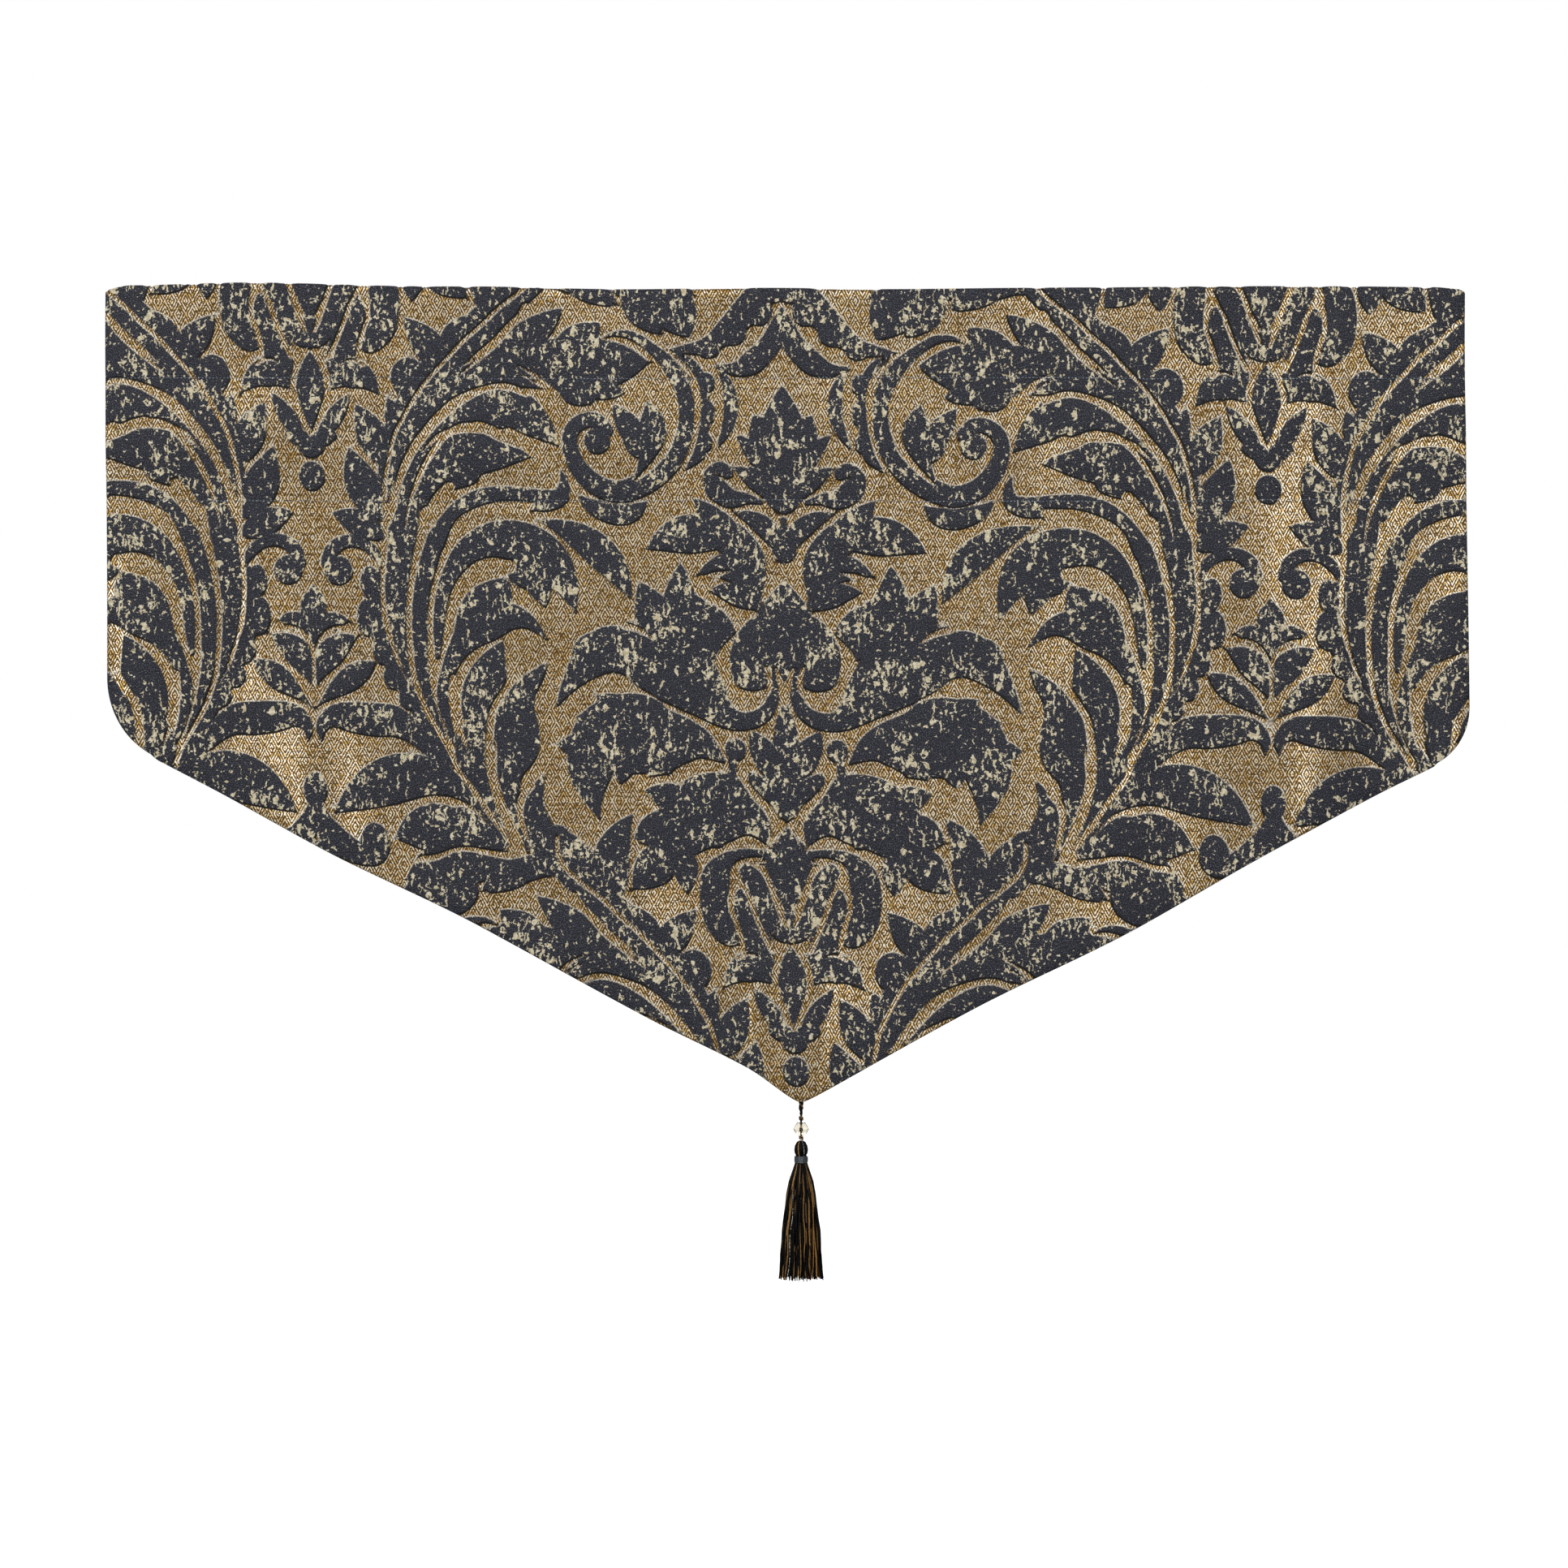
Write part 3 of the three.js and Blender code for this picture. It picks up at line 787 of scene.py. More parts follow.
class StitchTree(PathTree):
    """Sets sewn stitches along a drawn row."""

    def __init__(self) -> None:
        """Build the tree with its named inputs."""
        super().__init__("stitch_row", "Stitches", Rows="Geometry", Pitch="Float", Length="Float",
                         Thickness="Float", Seed="Int", Finish="Material")
        given, add = self.given, self.add
        curve = add("GeometryNodeMeshToCurve", Mesh=given["Rows"])
        stops = add("GeometryNodeResampleCurve", mode="LENGTH", Curve=curve["Curve"], Length=given["Pitch"])
        size = add("ShaderNodeCombineXYZ", given["Length"], given["Thickness"], given["Thickness"])
        bead = add("GeometryNodeMeshUVSphere", Segments=6, Rings=4, Radius=0.5)
        sized = add("GeometryNodeTransform", Geometry=bead["Mesh"], Scale=size[0])
        along = add("GeometryNodeInputTangent")
        aim = add("FunctionNodeAlignRotationToVector", axis="X", Vector=along[0])
        chance = {"kind": "FunctionNodeRandomValue", "Seed": given["Seed"]}
        sway = add(data_type="FLOAT_VECTOR", Min=(0.0, -0.05, -0.03), Max=(0.0, 0.10, 0.03), **chance)
        plump = add(data_type="FLOAT_VECTOR", Min=(0.82, 0.85, 0.85), Max=(1.08, 1.15, 1.15), **chance)
        tone = add(data_type="FLOAT", **chance)
        wag = add("FunctionNodeRotateRotation", Rotation=aim[0], Rotate_By=sway[0])
        put = add("GeometryNodeInstanceOnPoints", Points=stops["Curve"], Instance=sized["Geometry"],
                  Rotation=wag[0], Scale=plump[0])
        keep = add("GeometryNodeStoreNamedAttribute", data_type="FLOAT", domain="INSTANCE",
                   Geometry=put["Instances"], Name="shade", Value=tone[1])
        self.close(keep["Geometry"])


@dataclass(frozen=True)
class Leaf:
    """A pointed leaf of the figure, from its base to its tip."""

    base: Point
    tip: Point
    width: float
    bow: float = 0.0
    full: float = 0.45
    lobes: tuple[int, int] = (0, 0)
    notch: float = 0.4
    stem: float = 0.0

    def outline(self) -> Array:
        """Draw the leaf's edge.

        Returns:
            Its corners, in woven millimetres.
        """
        base, run = np.array(self.base), np.array(self.tip) - np.array(self.base)
        length = float(np.hypot(*run))
        right = np.array((-run[1], run[0])) / length * self.bow * length
        steps = max(10, int(length / 2.5), 8 * max(self.lobes))
        t = np.linspace(0.0, 1.0, steps + 1)
        spine = base + np.outer(t, run) + np.outer(4 * t * (1 - t), right)
        slope, normal = headings(run + np.outer(4 * (1 - 2 * t), right))
        power = math.log(0.5) / math.log(self.full)
        half = 0.5 * self.width * np.sin(math.pi * t ** power).clip(0.0) ** 0.85
        half = np.maximum(half, 0.5 * self.width * self.stem * (1 - t) ** 0.5)
        sides = []
        for sign, count in ((-1.0, self.lobes[0]), (1.0, self.lobes[1])):
            edge, push = half.copy(), np.zeros_like(t)
            if count:
                phase = (t * count) % 1.0
                swell = np.sin(0.5 * math.pi * phase / 0.72)
                fall = np.cos(0.5 * math.pi * (phase - 0.72) / 0.28)
                lobe = np.where(phase < 0.72, swell, fall)
                within = (t > 0.02) & (t < 0.985)
                edge = np.where(within, half * (1 - self.notch * (1 - lobe)), half)
                push = np.where(within, 0.22 * self.width * lobe * self.notch * np.sin(math.pi * t), 0.0)
            sides.append(spine + normal * (sign * edge)[:, None] + slope * push[:, None])
        return np.vstack([sides[0], sides[1][::-1][1:]])


@dataclass(frozen=True)
class Band:
    """A curling stroke of the figure, with its width at each point."""

    path: tuple[tuple[float, float, float], ...]

    def outline(self) -> Array:
        """Draw the stroke's edge.

        Returns:
            Its corners, in woven millimetres.
        """
        line = soft_path(np.array(self.path, float), 6)
        middle, half = line[:, :2], 0.5 * np.maximum(line[:, 2], 0.3)
        slope, normal = headings(np.gradient(middle, axis=0))
        left, right = middle - normal * half[:, None], middle + normal * half[:, None]
        caps = []
        for end, sign in ((-1, 1.0), (0, -1.0)):
            turn = np.linspace(-0.5 * math.pi, 0.5 * math.pi, 7)[1:-1] if half[end] > 0.8 else np.zeros(0)
            sweep = np.outer(np.cos(turn), slope[end]) + np.outer(np.sin(turn), normal[end])
            caps.append(middle[end] + sign * half[end] * sweep)
        return np.vstack([left, caps[0], right[::-1], caps[1]])


@dataclass(frozen=True)
class Ball:
    """A round or oval bud of the figure."""

    middle: Point
    radii: Point

    def outline(self) -> Array:
        """Draw the bud's edge, in woven millimetres."""
        turn = np.linspace(0, 2 * math.pi, 20, endpoint=False)
        return np.array(self.middle) + np.stack([np.cos(turn), np.sin(turn)], axis=1) * self.radii


Shape = Leaf | Band | Ball

PALMETTE: tuple[Shape, ...] = (
    Leaf((0, 142), (0, 60), 32, full=0.5),
    Leaf((-3, 122), (-18, 78.5), 21, bow=0.05, full=0.6),
    Leaf((0, 125), (-29, 90.5), 12, bow=0.03, full=0.55),
    Leaf((0, 137), (-31, 110.5), 11, bow=0.06, full=0.55),
    Leaf((-8, 130), (-22, 110), 10, full=0.6),
    Ball((0, 112), (16, 27)),
    Band(((-14, 132, 3), (-23, 130, 7), (-33, 130, 12), (-41.5, 124, 14), (-43.8, 116.5, 11),
          (-38.7, 112, 9), (-34.5, 114, 8))),
    Leaf((0, 170), (-31, 138.5), 12.5, bow=0.17, full=0.52),
    Band(((0, 134, 4), (0, 147, 4.2), (0, 154, 9), (0, 162, 15))),
    Leaf((-26, 160), (-85, 162), 24, bow=0.15, full=0.52),
    Leaf((-24, 170), (-55.2, 130.5), 20, bow=0.02),
    Leaf((-17, 200), (-27.5, 146), 25, bow=-0.02, full=0.55),
    Leaf((-14, 184), (-53.5, 177), 18, bow=0.2),
    Leaf((-13, 198), (-46.3, 187), 15, bow=0.1),
)
ARCH: tuple[Shape, ...] = (
    Band(((-2, -10, 16), (-12, 2, 16), (-22, 14, 17), (-33, 26, 15), (-45, 35.5, 10.5), (-60, 38.8, 6),
          (-71, 39.5, 1))),
    Ball((-5.5, 2), (8, 7.5)),
    Ball((-15, 14.5), (9.5, 9)),
    Ball((-31, 27.5), (9.5, 8.5)),
    Ball((-45.5, 37.5), (7.5, 6.5)),
    Band(((0, 12, 1), (-1.5, 22, 11), (-4.5, 30, 13), (-9.5, 37.5, 13.5), (-18.5, 46, 14.5),
          (-27, 50, 10), (-35, 50, 5), (-41.5, 48.3, 1))),
    Leaf((-41.8, 100), (-40.5, 47), 9, bow=0.18, full=0.5),
    Band(((-70, 41, 1), (-59, 47, 9), (-51.3, 57, 9), (-48.6, 68, 6.5), (-48.3, 80, 8), (-49.2, 91, 6.5),
          (-52, 103, 8), (-60.5, 113, 0.5))),
    Ball((-47, 59), (5.6, 6.5)),
    Ball((-47, 77.5), (5.4, 8)),
    Ball((-48.5, 96), (5.2, 6)),
)
SCROLL: tuple[Shape, ...] = (
    Band(((-110.4, 32, 0.5), (-101.5, 29.5, 3.5), (-91.5, 31, 5.5), (-80.7, 38, 6.5), (-71, 47, 9),
          (-63.7, 58, 10), (-59.4, 70, 10), (-59.2, 82, 9.5), (-61, 94, 11), (-67.3, 105, 13),
          (-77.6, 116, 14), (-91, 124, 14), (-104, 127, 13.5), (-117, 122, 12.5), (-126.6, 112, 11.5),
          (-131.3, 100, 10), (-130.2, 90, 9.5), (-123.5, 84, 9.5), (-115, 83.5, 9.5), (-109, 89, 9))),
    Ball((-114.5, 96), (8, 8)),
    Leaf((-94, 121.5), (-83.3, 71), 18, bow=0.15, full=0.62),
    Leaf((-85, 101), (-104.5, 73), 15),
    Leaf((-84, 106), (-99, 91.5), 11),
    Band(((-126.7, 129, 0.5), (-120.3, 135, 8), (-111.4, 139, 11.5), (-101.5, 141, 13), (-92.5, 139, 11),
          (-84.3, 133, 1))),
    Leaf((-96, -18), (-75.5, 29.5), 30, full=0.6),
    Leaf((-81, -12), (-57, 31), 27, full=0.6),
    Leaf((-140, -10), (-103.4, 12.7), 16),
    Leaf((-152.5, 145), (-94.5, 193), 20, bow=-0.13, full=0.55),
)
STEM: tuple[Shape, ...] = (
    Band(((-149, -22, 16), (-150, -11, 18), (-155, -3, 19), (-162, 4, 19), (-175.2, 15.6, 20),
          (-185.3, 25.6, 21), (-196.7, 35.6, 21), (-206.9, 46.7, 20), (-217.1, 57.8, 20),
          (-226.3, 70, 18), (-233.3, 82.2, 17), (-239.2, 93.3, 15), (-242.8, 106.7, 13),
          (-245.6, 121.1, 9), (-246.4, 133.3, 5))),
    Leaf((-122, 376), (-138, 335.8), 22, full=0.5),
    Leaf((-107, 384), (-95, 325.5), 24, bow=-0.14, full=0.42),
    Leaf((-209, 46), (-188.5, 19), 17, bow=-0.05),
    Leaf((-208, 50), (-233, 21.5), 19, full=0.42),
    Ball((-230.5, 58.5), (11, 12.5)),
    Leaf((-234.5, 96), (-243.2, 71), 13),
    Leaf((-248.5, 113), (-263.3, 75.6), 19, bow=0.05),
    Leaf((-246.5, 147), (-267.8, 102), 22, bow=-0.05),
    Leaf((-247, 158), (-279, 142.5), 17, bow=0.05),
    Band(((-248.5, 176, 1.5), (-253, 167, 6.5), (-261, 161, 7), (-271, 160, 8), (-279, 165, 9),
          (-282, 173, 9))),
    Ball((-275.5, 178), (8.8, 9)),
    Ball((-256.4, 185), (5.8, 10)),
    Ball((-257.2, 206.5), (7.3, 12)),
    Ball((-248, 227), (7, 9)),
    Ball((-241.4, 243), (7, 8)),
    Ball((-232.2, 256), (7, 7.5)),
    Band(((-251.5, 178, 4), (-253, 195, 7), (-252.7, 210, 9), (-248.5, 224, 9), (-243.2, 236, 8.5),
          (-236.5, 248, 8), (-228.7, 261, 8), (-221.2, 273, 9), (-212.7, 286, 8), (-206, 298, 2))),
)
PLUME: tuple[Shape, ...] = (
    Leaf((-166, 50), (-82, 47), 39, full=0.48, lobes=(3, 2), notch=0.14),
    Leaf((-152, 48), (-112, 23), 20, bow=0.05, full=0.6),
    Leaf((-142, 54), (-97.5, 66.5), 17, full=0.6),
    Leaf((-146, 54), (-115, 71.5), 19, full=0.6),
    Leaf((-190, 56), (-135.3, 14.4), 20, bow=0.02, full=0.55),
    Band(((-239, 132, 3), (-238.5, 120, 5), (-235, 106, 7.5), (-228, 92, 9), (-220, 80, 10.5),
          (-211, 69, 12), (-200, 61, 14), (-186, 55, 17), (-170, 50, 18), (-158, 48, 14))),
    Leaf((-208, 68), (-148.5, 64), 12, bow=-0.12),
    Band(((-237.5, 145, 3), (-235.5, 131, 4), (-231, 116, 4.5), (-225, 104, 4.5), (-217, 93, 5),
          (-208, 84, 6))),
    Leaf((-220, 98), (-138.2, 99.5), 27, bow=-0.29, full=0.6, lobes=(0, 3), notch=0.2),
    Leaf((-236, 146), (-155.6, 106.5), 33, bow=-0.19, full=0.48, lobes=(0, 3), notch=0.2),
    Band(((-231, 138, 13), (-236, 155, 18), (-237.5, 170, 18), (-239.4, 185, 15.5), (-240, 200, 13),
          (-238.8, 213, 11), (-236, 226, 8), (-232.8, 240, 5), (-229.5, 250, 1))),
    Band(((-137.5, 113.3, 0.5), (-135.3, 122, 6), (-137.5, 130, 10.5), (-146, 133, 13), (-159, 132, 13),
          (-174, 130, 11), (-187.2, 132, 11), (-198.5, 138.5, 12), (-206.7, 147, 12), (-213, 156, 12.5),
          (-217.8, 163, 12.5), (-221, 175, 12), (-224, 187.5, 11), (-225.6, 206, 10), (-224.8, 225, 10),
          (-223, 245, 9), (-219.2, 260, 7), (-214, 272.5, 4), (-209.5, 282, 0.6))),
    Band(((-214.8, 230, 3), (-214.3, 220, 5.5), (-213.8, 211, 7), (-212.5, 199, 8), (-209.8, 187, 9),
          (-204, 175, 12), (-195, 164.5, 16), (-182, 158, 21), (-167, 158, 25), (-153, 164, 27),
          (-142, 174, 24), (-134, 187, 14), (-128.7, 202.5, 0.5))),
    Leaf((-157, 168), (-147.6, 199), 17),
    Leaf((-166, 166), (-160, 187.5), 17, full=0.55),
    Band(((-198, 296, 1), (-202, 287, 3), (-207.7, 275, 5), (-210.8, 262, 7), (-211.2, 250, 8),
          (-207.2, 237, 9.5), (-202, 226, 13), (-194, 216, 19), (-183, 209, 22), (-170, 205, 17),
          (-158, 208, 9), (-146, 219, 0.5))),
    Leaf((-207, 232), (-170.5, 181), 30, full=0.6),
    Leaf((-184, 294), (-174, 220), 27.5, bow=-0.10, full=0.52),
    Band(((-192, 276, 16), (-195, 287.5, 19), (-192, 300, 17), (-186.5, 312, 13), (-181, 325, 7.5),
          (-174.3, 337, 4.5), (-168.5, 347.5, 0.8))),
    Band(((-146.7, 232.5, 0.5), (-153.3, 241, 9), (-161.4, 251, 15), (-165, 263, 21.5), (-165.4, 276, 27),
          (-166.3, 287, 26), (-170.7, 300, 17), (-170.6, 312, 11.5), (-168.6, 325, 7), (-163.8, 337.5, 4),
          (-160.8, 349, 2))),
    Band(((-149.2, 301, 0.5), (-153.4, 310, 7), (-156, 322, 13), (-153.4, 335, 18), (-150.5, 346, 18),
          (-147, 356, 18))),
)
ACANTHUS: tuple[Shape, ...] = (
    Band(((-141.5, 260, 0.5), (-132.4, 245, 11), (-121, 232, 22), (-109, 224.5, 29), (-96, 226, 28),
          (-83, 231, 36), (-67, 236, 44), (-51.3, 250, 32), (-39.6, 262, 18), (-29.7, 267, 12),
          (-18.7, 266, 10.5), (-9.6, 259, 8.5), (-6, 248, 6.5), (-5.5, 240, 2))),
    Leaf((-67, 250), (-64, 170.5), 22, full=0.6),
    Leaf((-60, 246), (-89.8, 182), 27, full=0.55),
    Leaf((-64, 232), (-100, 207), 19),
    Leaf((-64, 228), (-30, 213), 36, bow=-0.22, full=0.5),
    Ball((-61.5, 213), (20, 25)),
    Leaf((-108, 224), (-131.5, 227), 17, bow=0.12),
    Band(((-38.5, 292, 2), (-50.4, 283, 17), (-62.3, 280, 29), (-77.2, 279.5, 42), (-94, 276, 50),
          (-110.2, 279, 44), (-119.6, 292, 32), (-121, 306, 23), (-119, 318, 11), (-115.7, 329, 0.5))),
    Leaf((-98, 278), (-129.5, 266), 24),
    Leaf((-100, 285), (-141.8, 283.5), 22),
    Leaf((-90, 268), (-117, 252.5), 17),
    Leaf((-100, 282), (-102, 307), 18),
    Leaf((-74, 286), (-83.5, 304.5), 18),
    Band(((-6.5, 347, 1), (-18, 330, 20), (-31.7, 323, 40), (-44, 322, 46), (-57, 327, 44),
          (-68, 338, 34), (-77, 351, 22), (-86, 364, 6))),
    Leaf((-58, 318), (-87.4, 310.5), 17),
    Leaf((-66, 334), (-94.6, 340.5), 24, bow=0.05),
    Leaf((-70, 345), (-96.5, 371.5), 24),
    Leaf((-64, 345), (-63, 374), 16),
)
SPADE: tuple[Shape, ...] = (
    Leaf((0, 247), (0, 180.5), 44, full=0.42),
    Band(((-8, 205, 13), (-17.5, 213, 18), (-24, 226, 19), (-23.5, 237, 17.5), (-18, 242, 13),
          (-13.5, 239, 8))),
    Ball((-20, 238), (13, 10.5)),
    Leaf((0, 304), (0, 254), 15, full=0.5),
    Leaf((0, 310), (-21.5, 273), 17, full=0.55),
    Leaf((0, 328), (-23, 298.5), 16, full=0.55),
    Leaf((0, 329.5), (0, 285), 22, full=0.5),
    Ball((-31, 285), (6.5, 7)),
    Band(((-33, 290, 5), (-33, 299, 5.5), (-36, 304, 6))),
)
TULIP: tuple[Shape, ...] = (
    Band(((-12, 349, 4.5), (-24, 348.3, 5), (-36, 351.5, 8.5), (-44, 361, 17), (-45.5, 372, 19.5),
          (-45, 382, 19.5), (-43, 392, 18), (-37, 401, 11), (-29, 401.5, 2))),
    Band(((-26.5, 359, 9), (-23, 364, 13.5), (-18, 374, 15), (-13, 385, 14.5), (-6, 396, 12),
          (0, 399, 10))),
    Ball((0, 394), (13, 9.5)),
    Leaf((0, 398), (0, 341), 34, full=0.75),
    Leaf((0, 372), (0, 331.5), 15, full=0.55),
    Band(((-29.5, 374, 7), (-30, 383, 11), (-26.5, 392, 14.5), (-21, 401, 18), (-19, 410, 18),
          (-18.3, 415.5, 16))),
    Leaf((-9.5, 430), (-42, 431.5), 18, bow=0.36, full=0.5),
    Leaf((0, 457), (0, 405.5), 17.5, full=0.55),
    Leaf((-3, 463), (-24.2, 431.4), 10.8, full=0.5, stem=0.7),
    Ball((0, 463), (8.2, 8.4)),
    Band(((-12.6, 457.3, 6.8), (-8, 459.5, 9), (0, 461, 12))),
    Ball((0, 482.5), (8, 9)),
)
SPRIG: tuple[Shape, ...] = (
    Leaf((-291, 227), (-291, 187), 16.5, full=0.52),
    Ball((-291, 200), (8, 9.5)),
    Leaf((-289, 215), (-269.5, 209), 11, bow=-0.13, full=0.52),
    Leaf((-290.5, 251), (-264.3, 218.3), 17, bow=-0.15, full=0.55),
    Leaf((-289.5, 262), (-253.2, 234), 15, bow=-0.03, full=0.62),
    Band(((-204.5, 303, 1), (-212, 296, 5), (-222, 286, 9.5), (-231.5, 276.5, 14), (-242, 270.5, 19),
          (-254, 269.5, 20.5), (-266, 268.5, 19), (-276, 267.5, 15.5), (-283, 270, 11), (-287, 276, 6.5),
          (-286.8, 283.5, 0.6))),
    Leaf((-172.6, 346), (-279, 327), 30, bow=0.30, full=0.70, stem=0.25),
    Leaf((-173, 350), (-243.5, 342.5), 33, bow=0.15, full=0.58, lobes=(2, 2), notch=0.2),
    Leaf((-165, 354), (-237.5, 368), 34, bow=0.06, full=0.55, lobes=(2, 1), notch=0.2),
    Leaf((-140, 360), (-190.5, 374.5), 16, bow=0.12),
    Ball((-291, 313), (7.3, 10.8)),
    Band(((-291, 322, 8), (-287, 334, 14), (-277, 345, 15), (-266, 352, 13), (-257, 355, 10))),
    Ball((-255.5, 346), (9.2, 13)),
)
GAPS: tuple[Shape, ...] = (
    Band(((-70, 39.5, 2.4), (-56.6, 53, 2.8), (-52.3, 63, 3), (-51.8, 73.3, 3), (-52.4, 83, 3),
          (-54, 92, 3), (-57, 102, 3), (-62, 111, 3))),
    Band(((-148.6, -22, 2.6), (-149.2, -11, 2.8), (-153.6, -3, 3), (-160.5, 4, 3), (-175.2, 15.6, 3),
          (-185.3, 25.6, 3), (-196.7, 35.6, 3), (-206.9, 46.7, 2.8), (-217.1, 57.8, 2.8),
          (-226.3, 70, 2.8), (-233.3, 82.2, 2.8), (-239.2, 93.3, 2.8), (-242.8, 106.7, 2.8),
          (-245.6, 121.1, 2.8), (-246.4, 133.3, 2.8), (-246.2, 145.6, 2.8), (-246, 160, 2.8),
          (-247.5, 175, 2.8), (-248.4, 187.5, 2.8), (-247.4, 200, 2.6), (-245.2, 212.5, 2.4),
          (-243, 222.5, 2), (-240, 232.5, 1.5), (-234, 245, 0.5))),
    Band(((-157.5, 13.9, 6), (-165.3, 24.4, 3.2), (-175.5, 36.7, 2.6), (-187, 46.7, 2.6),
          (-200.5, 57.8, 0.6))),
    Band(((-163, 50, 0.5), (-154, 55, 2.5), (-147, 62, 5), (-140, 68, 6))),
    Band(((-241.5, 146, 0.6), (-239.7, 133, 3), (-236, 119, 5), (-229, 104, 6), (-220, 92, 6.5),
          (-210, 81, 7), (-198, 71.5, 6.5), (-184, 65, 4.5), (-171, 63, 4.5), (-158, 67, 5))),
    Band(((-234, 152, 0.6), (-231.3, 138, 2), (-226.5, 124, 3.4), (-219, 109, 4), (-209.5, 96, 4),
          (-199, 88.5, 4.5), (-187, 88.5, 4.5), (-176, 94, 5), (-164, 98.5, 5))),
    Band(((-206.7, 126, 8), (-214.5, 134, 7), (-219.7, 144, 6.5), (-224.3, 158, 6), (-228, 172, 4.8),
          (-230.8, 187.5, 4), (-232.4, 206, 3.4), (-231.7, 225, 3.2), (-230, 240, 3.4),
          (-226.5, 252.5, 3.4), (-220.8, 266, 3.4), (-214.8, 276, 3.2), (-207.5, 289, 3), (-203, 300, 3),
          (-194.6, 311, 3.2), (-185, 325, 3.4), (-172, 342.5, 3.6), (-166.3, 350, 3.6))),
    Band(((-157, 136.5, 6), (-175, 136.5, 5.5), (-190, 141, 6), (-201, 148.5, 6), (-207.5, 162.5, 5),
          (-212.5, 175, 4.5), (-216.5, 188, 3.5), (-218.7, 203, 3), (-219.6, 221, 2.2),
          (-219.8, 236, 1.8), (-218, 250, 1.5), (-215, 262, 1.2), (-211, 275, 0.6))),
    Band(((-170, 174, 9), (-180, 172.5, 7), (-190, 174.5, 6.5), (-197.8, 181.5, 5.5), (-203, 190.5, 4.8),
          (-206.8, 200.5, 3.8), (-208.9, 210.5, 2.8), (-210.4, 220.5, 2), (-212, 231, 1.4),
          (-213.3, 239, 0.6))),
    Band(((-205, 243, 5), (-205.5, 256, 5), (-203.5, 268, 4), (-199.5, 280, 2.5), (-196, 289, 0.6))),
    Band(((-166, 236, 6), (-170, 245, 5), (-175.5, 254, 5), (-180.5, 262.5, 5), (-182.6, 275, 5),
          (-183.6, 287.5, 5), (-182.8, 300, 5), (-180.6, 310, 5), (-177.4, 322.5, 4.5),
          (-172.8, 332.5, 4), (-167, 342.5, 3.5))),
    Band(((-158.2, 308.8, 6), (-163.6, 316, 5), (-165, 325, 4), (-163, 335, 3), (-159.8, 345, 1))),
    Band(((-227.5, 355, 5), (-217.5, 353.5, 4), (-206, 349, 3), (-196, 348.5, 3.5), (-185, 350.5, 4),
          (-172.5, 352, 5), (-165, 350.5, 5))),
    Band(((-99.5, 209, 5), (-90, 212, 4), (-81, 218, 0.5))),
    Band(((-28, 105.5, 4), (-22, 108.6, 1.8), (-18, 110.8, 0.5))),
    Band(((-20, 412.5, 0.8), (-24, 411, 1.8), (-28, 411.3, 2.2), (-32.5, 413.5, 3))),
    Band(((-36, 384, 3), (-31.7, 396, 3), (-30, 403.5, 3), (-29.5, 410, 2.5))),
    Band(((-24, 377, 2.4), (-21.7, 385, 3), (-16.3, 399, 3), (-11.5, 408.5, 4))),
    Band(((-2.5, 404, 2), (-6.8, 411, 2.6), (-10, 419, 3), (-10.8, 426, 3), (-8.8, 435.5, 3),
          (-4.9, 447, 2.8), (-0.6, 457, 2))),
    Band(((-5.5, 234, 1.5), (-2.5, 243, 3.5), (-1, 252, 3), (0, 258, 2))),
    Band(((-11.5, 234, 2), (-9.5, 240, 3), (-9.5, 247, 3.5), (-13, 253, 3))),
    Band(((-14.5, 135, 2.5), (-9, 138.5, 2.5), (0, 140.5, 2))),
    Band(((-51, 181, 6), (-42, 177, 4), (-33, 175, 0.6))),
    Band(((-83.3, 305, 6), (-73.2, 303, 5), (-65.6, 301, 4), (-61.8, 296.5, 4), (-54.2, 293.8, 4),
          (-46.6, 293.5, 4), (-38.5, 297, 3))),
    Band(((-29.3, 299, 3), (-22.5, 309, 4.2), (-17, 315.5, 5.4), (-11.7, 321, 6), (-7.8, 328, 6.2),
          (-7, 334, 5.2), (-9, 339.5, 3), (-11.5, 344, 1))),
    Band(((-16, 356.5, 3), (-12.3, 366, 3.6), (-8.4, 377, 3.8), (-4.8, 388, 3.4), (-2.5, 394, 1.5))),
    Band(((-14.5, 353.5, 2), (-21, 351.8, 2.4), (-28, 354, 2.8), (-32.8, 361, 3), (-35.3, 371, 3),
          (-36, 384, 3))),
    Band(((-31, 364, 3), (-27.5, 371, 2.6), (-24, 377, 2.4))),
    Band(((-264.5, 229.5, 2.4), (-271.5, 234.3, 2.4), (-278.2, 241.8, 2.4), (-284.8, 250, 2.4),
          (-290.7, 257.6, 2))),
    Band(((-267, 213.6, 2.4), (-274.8, 212.6, 2.2), (-281.5, 214.6, 2.2), (-286.5, 219.3, 2.2),
          (-289.8, 226, 2.2), (-291, 233, 2))),
    Band(((-291, 230, 2), (-291, 242, 2.2), (-291, 256, 3))),
    Band(((-68.5, 90, 5), (-71.3, 98.6, 5.5), (-77.8, 107.5, 4.5), (-84, 113.8, 3.6), (-90.5, 119.6, 2))),
)


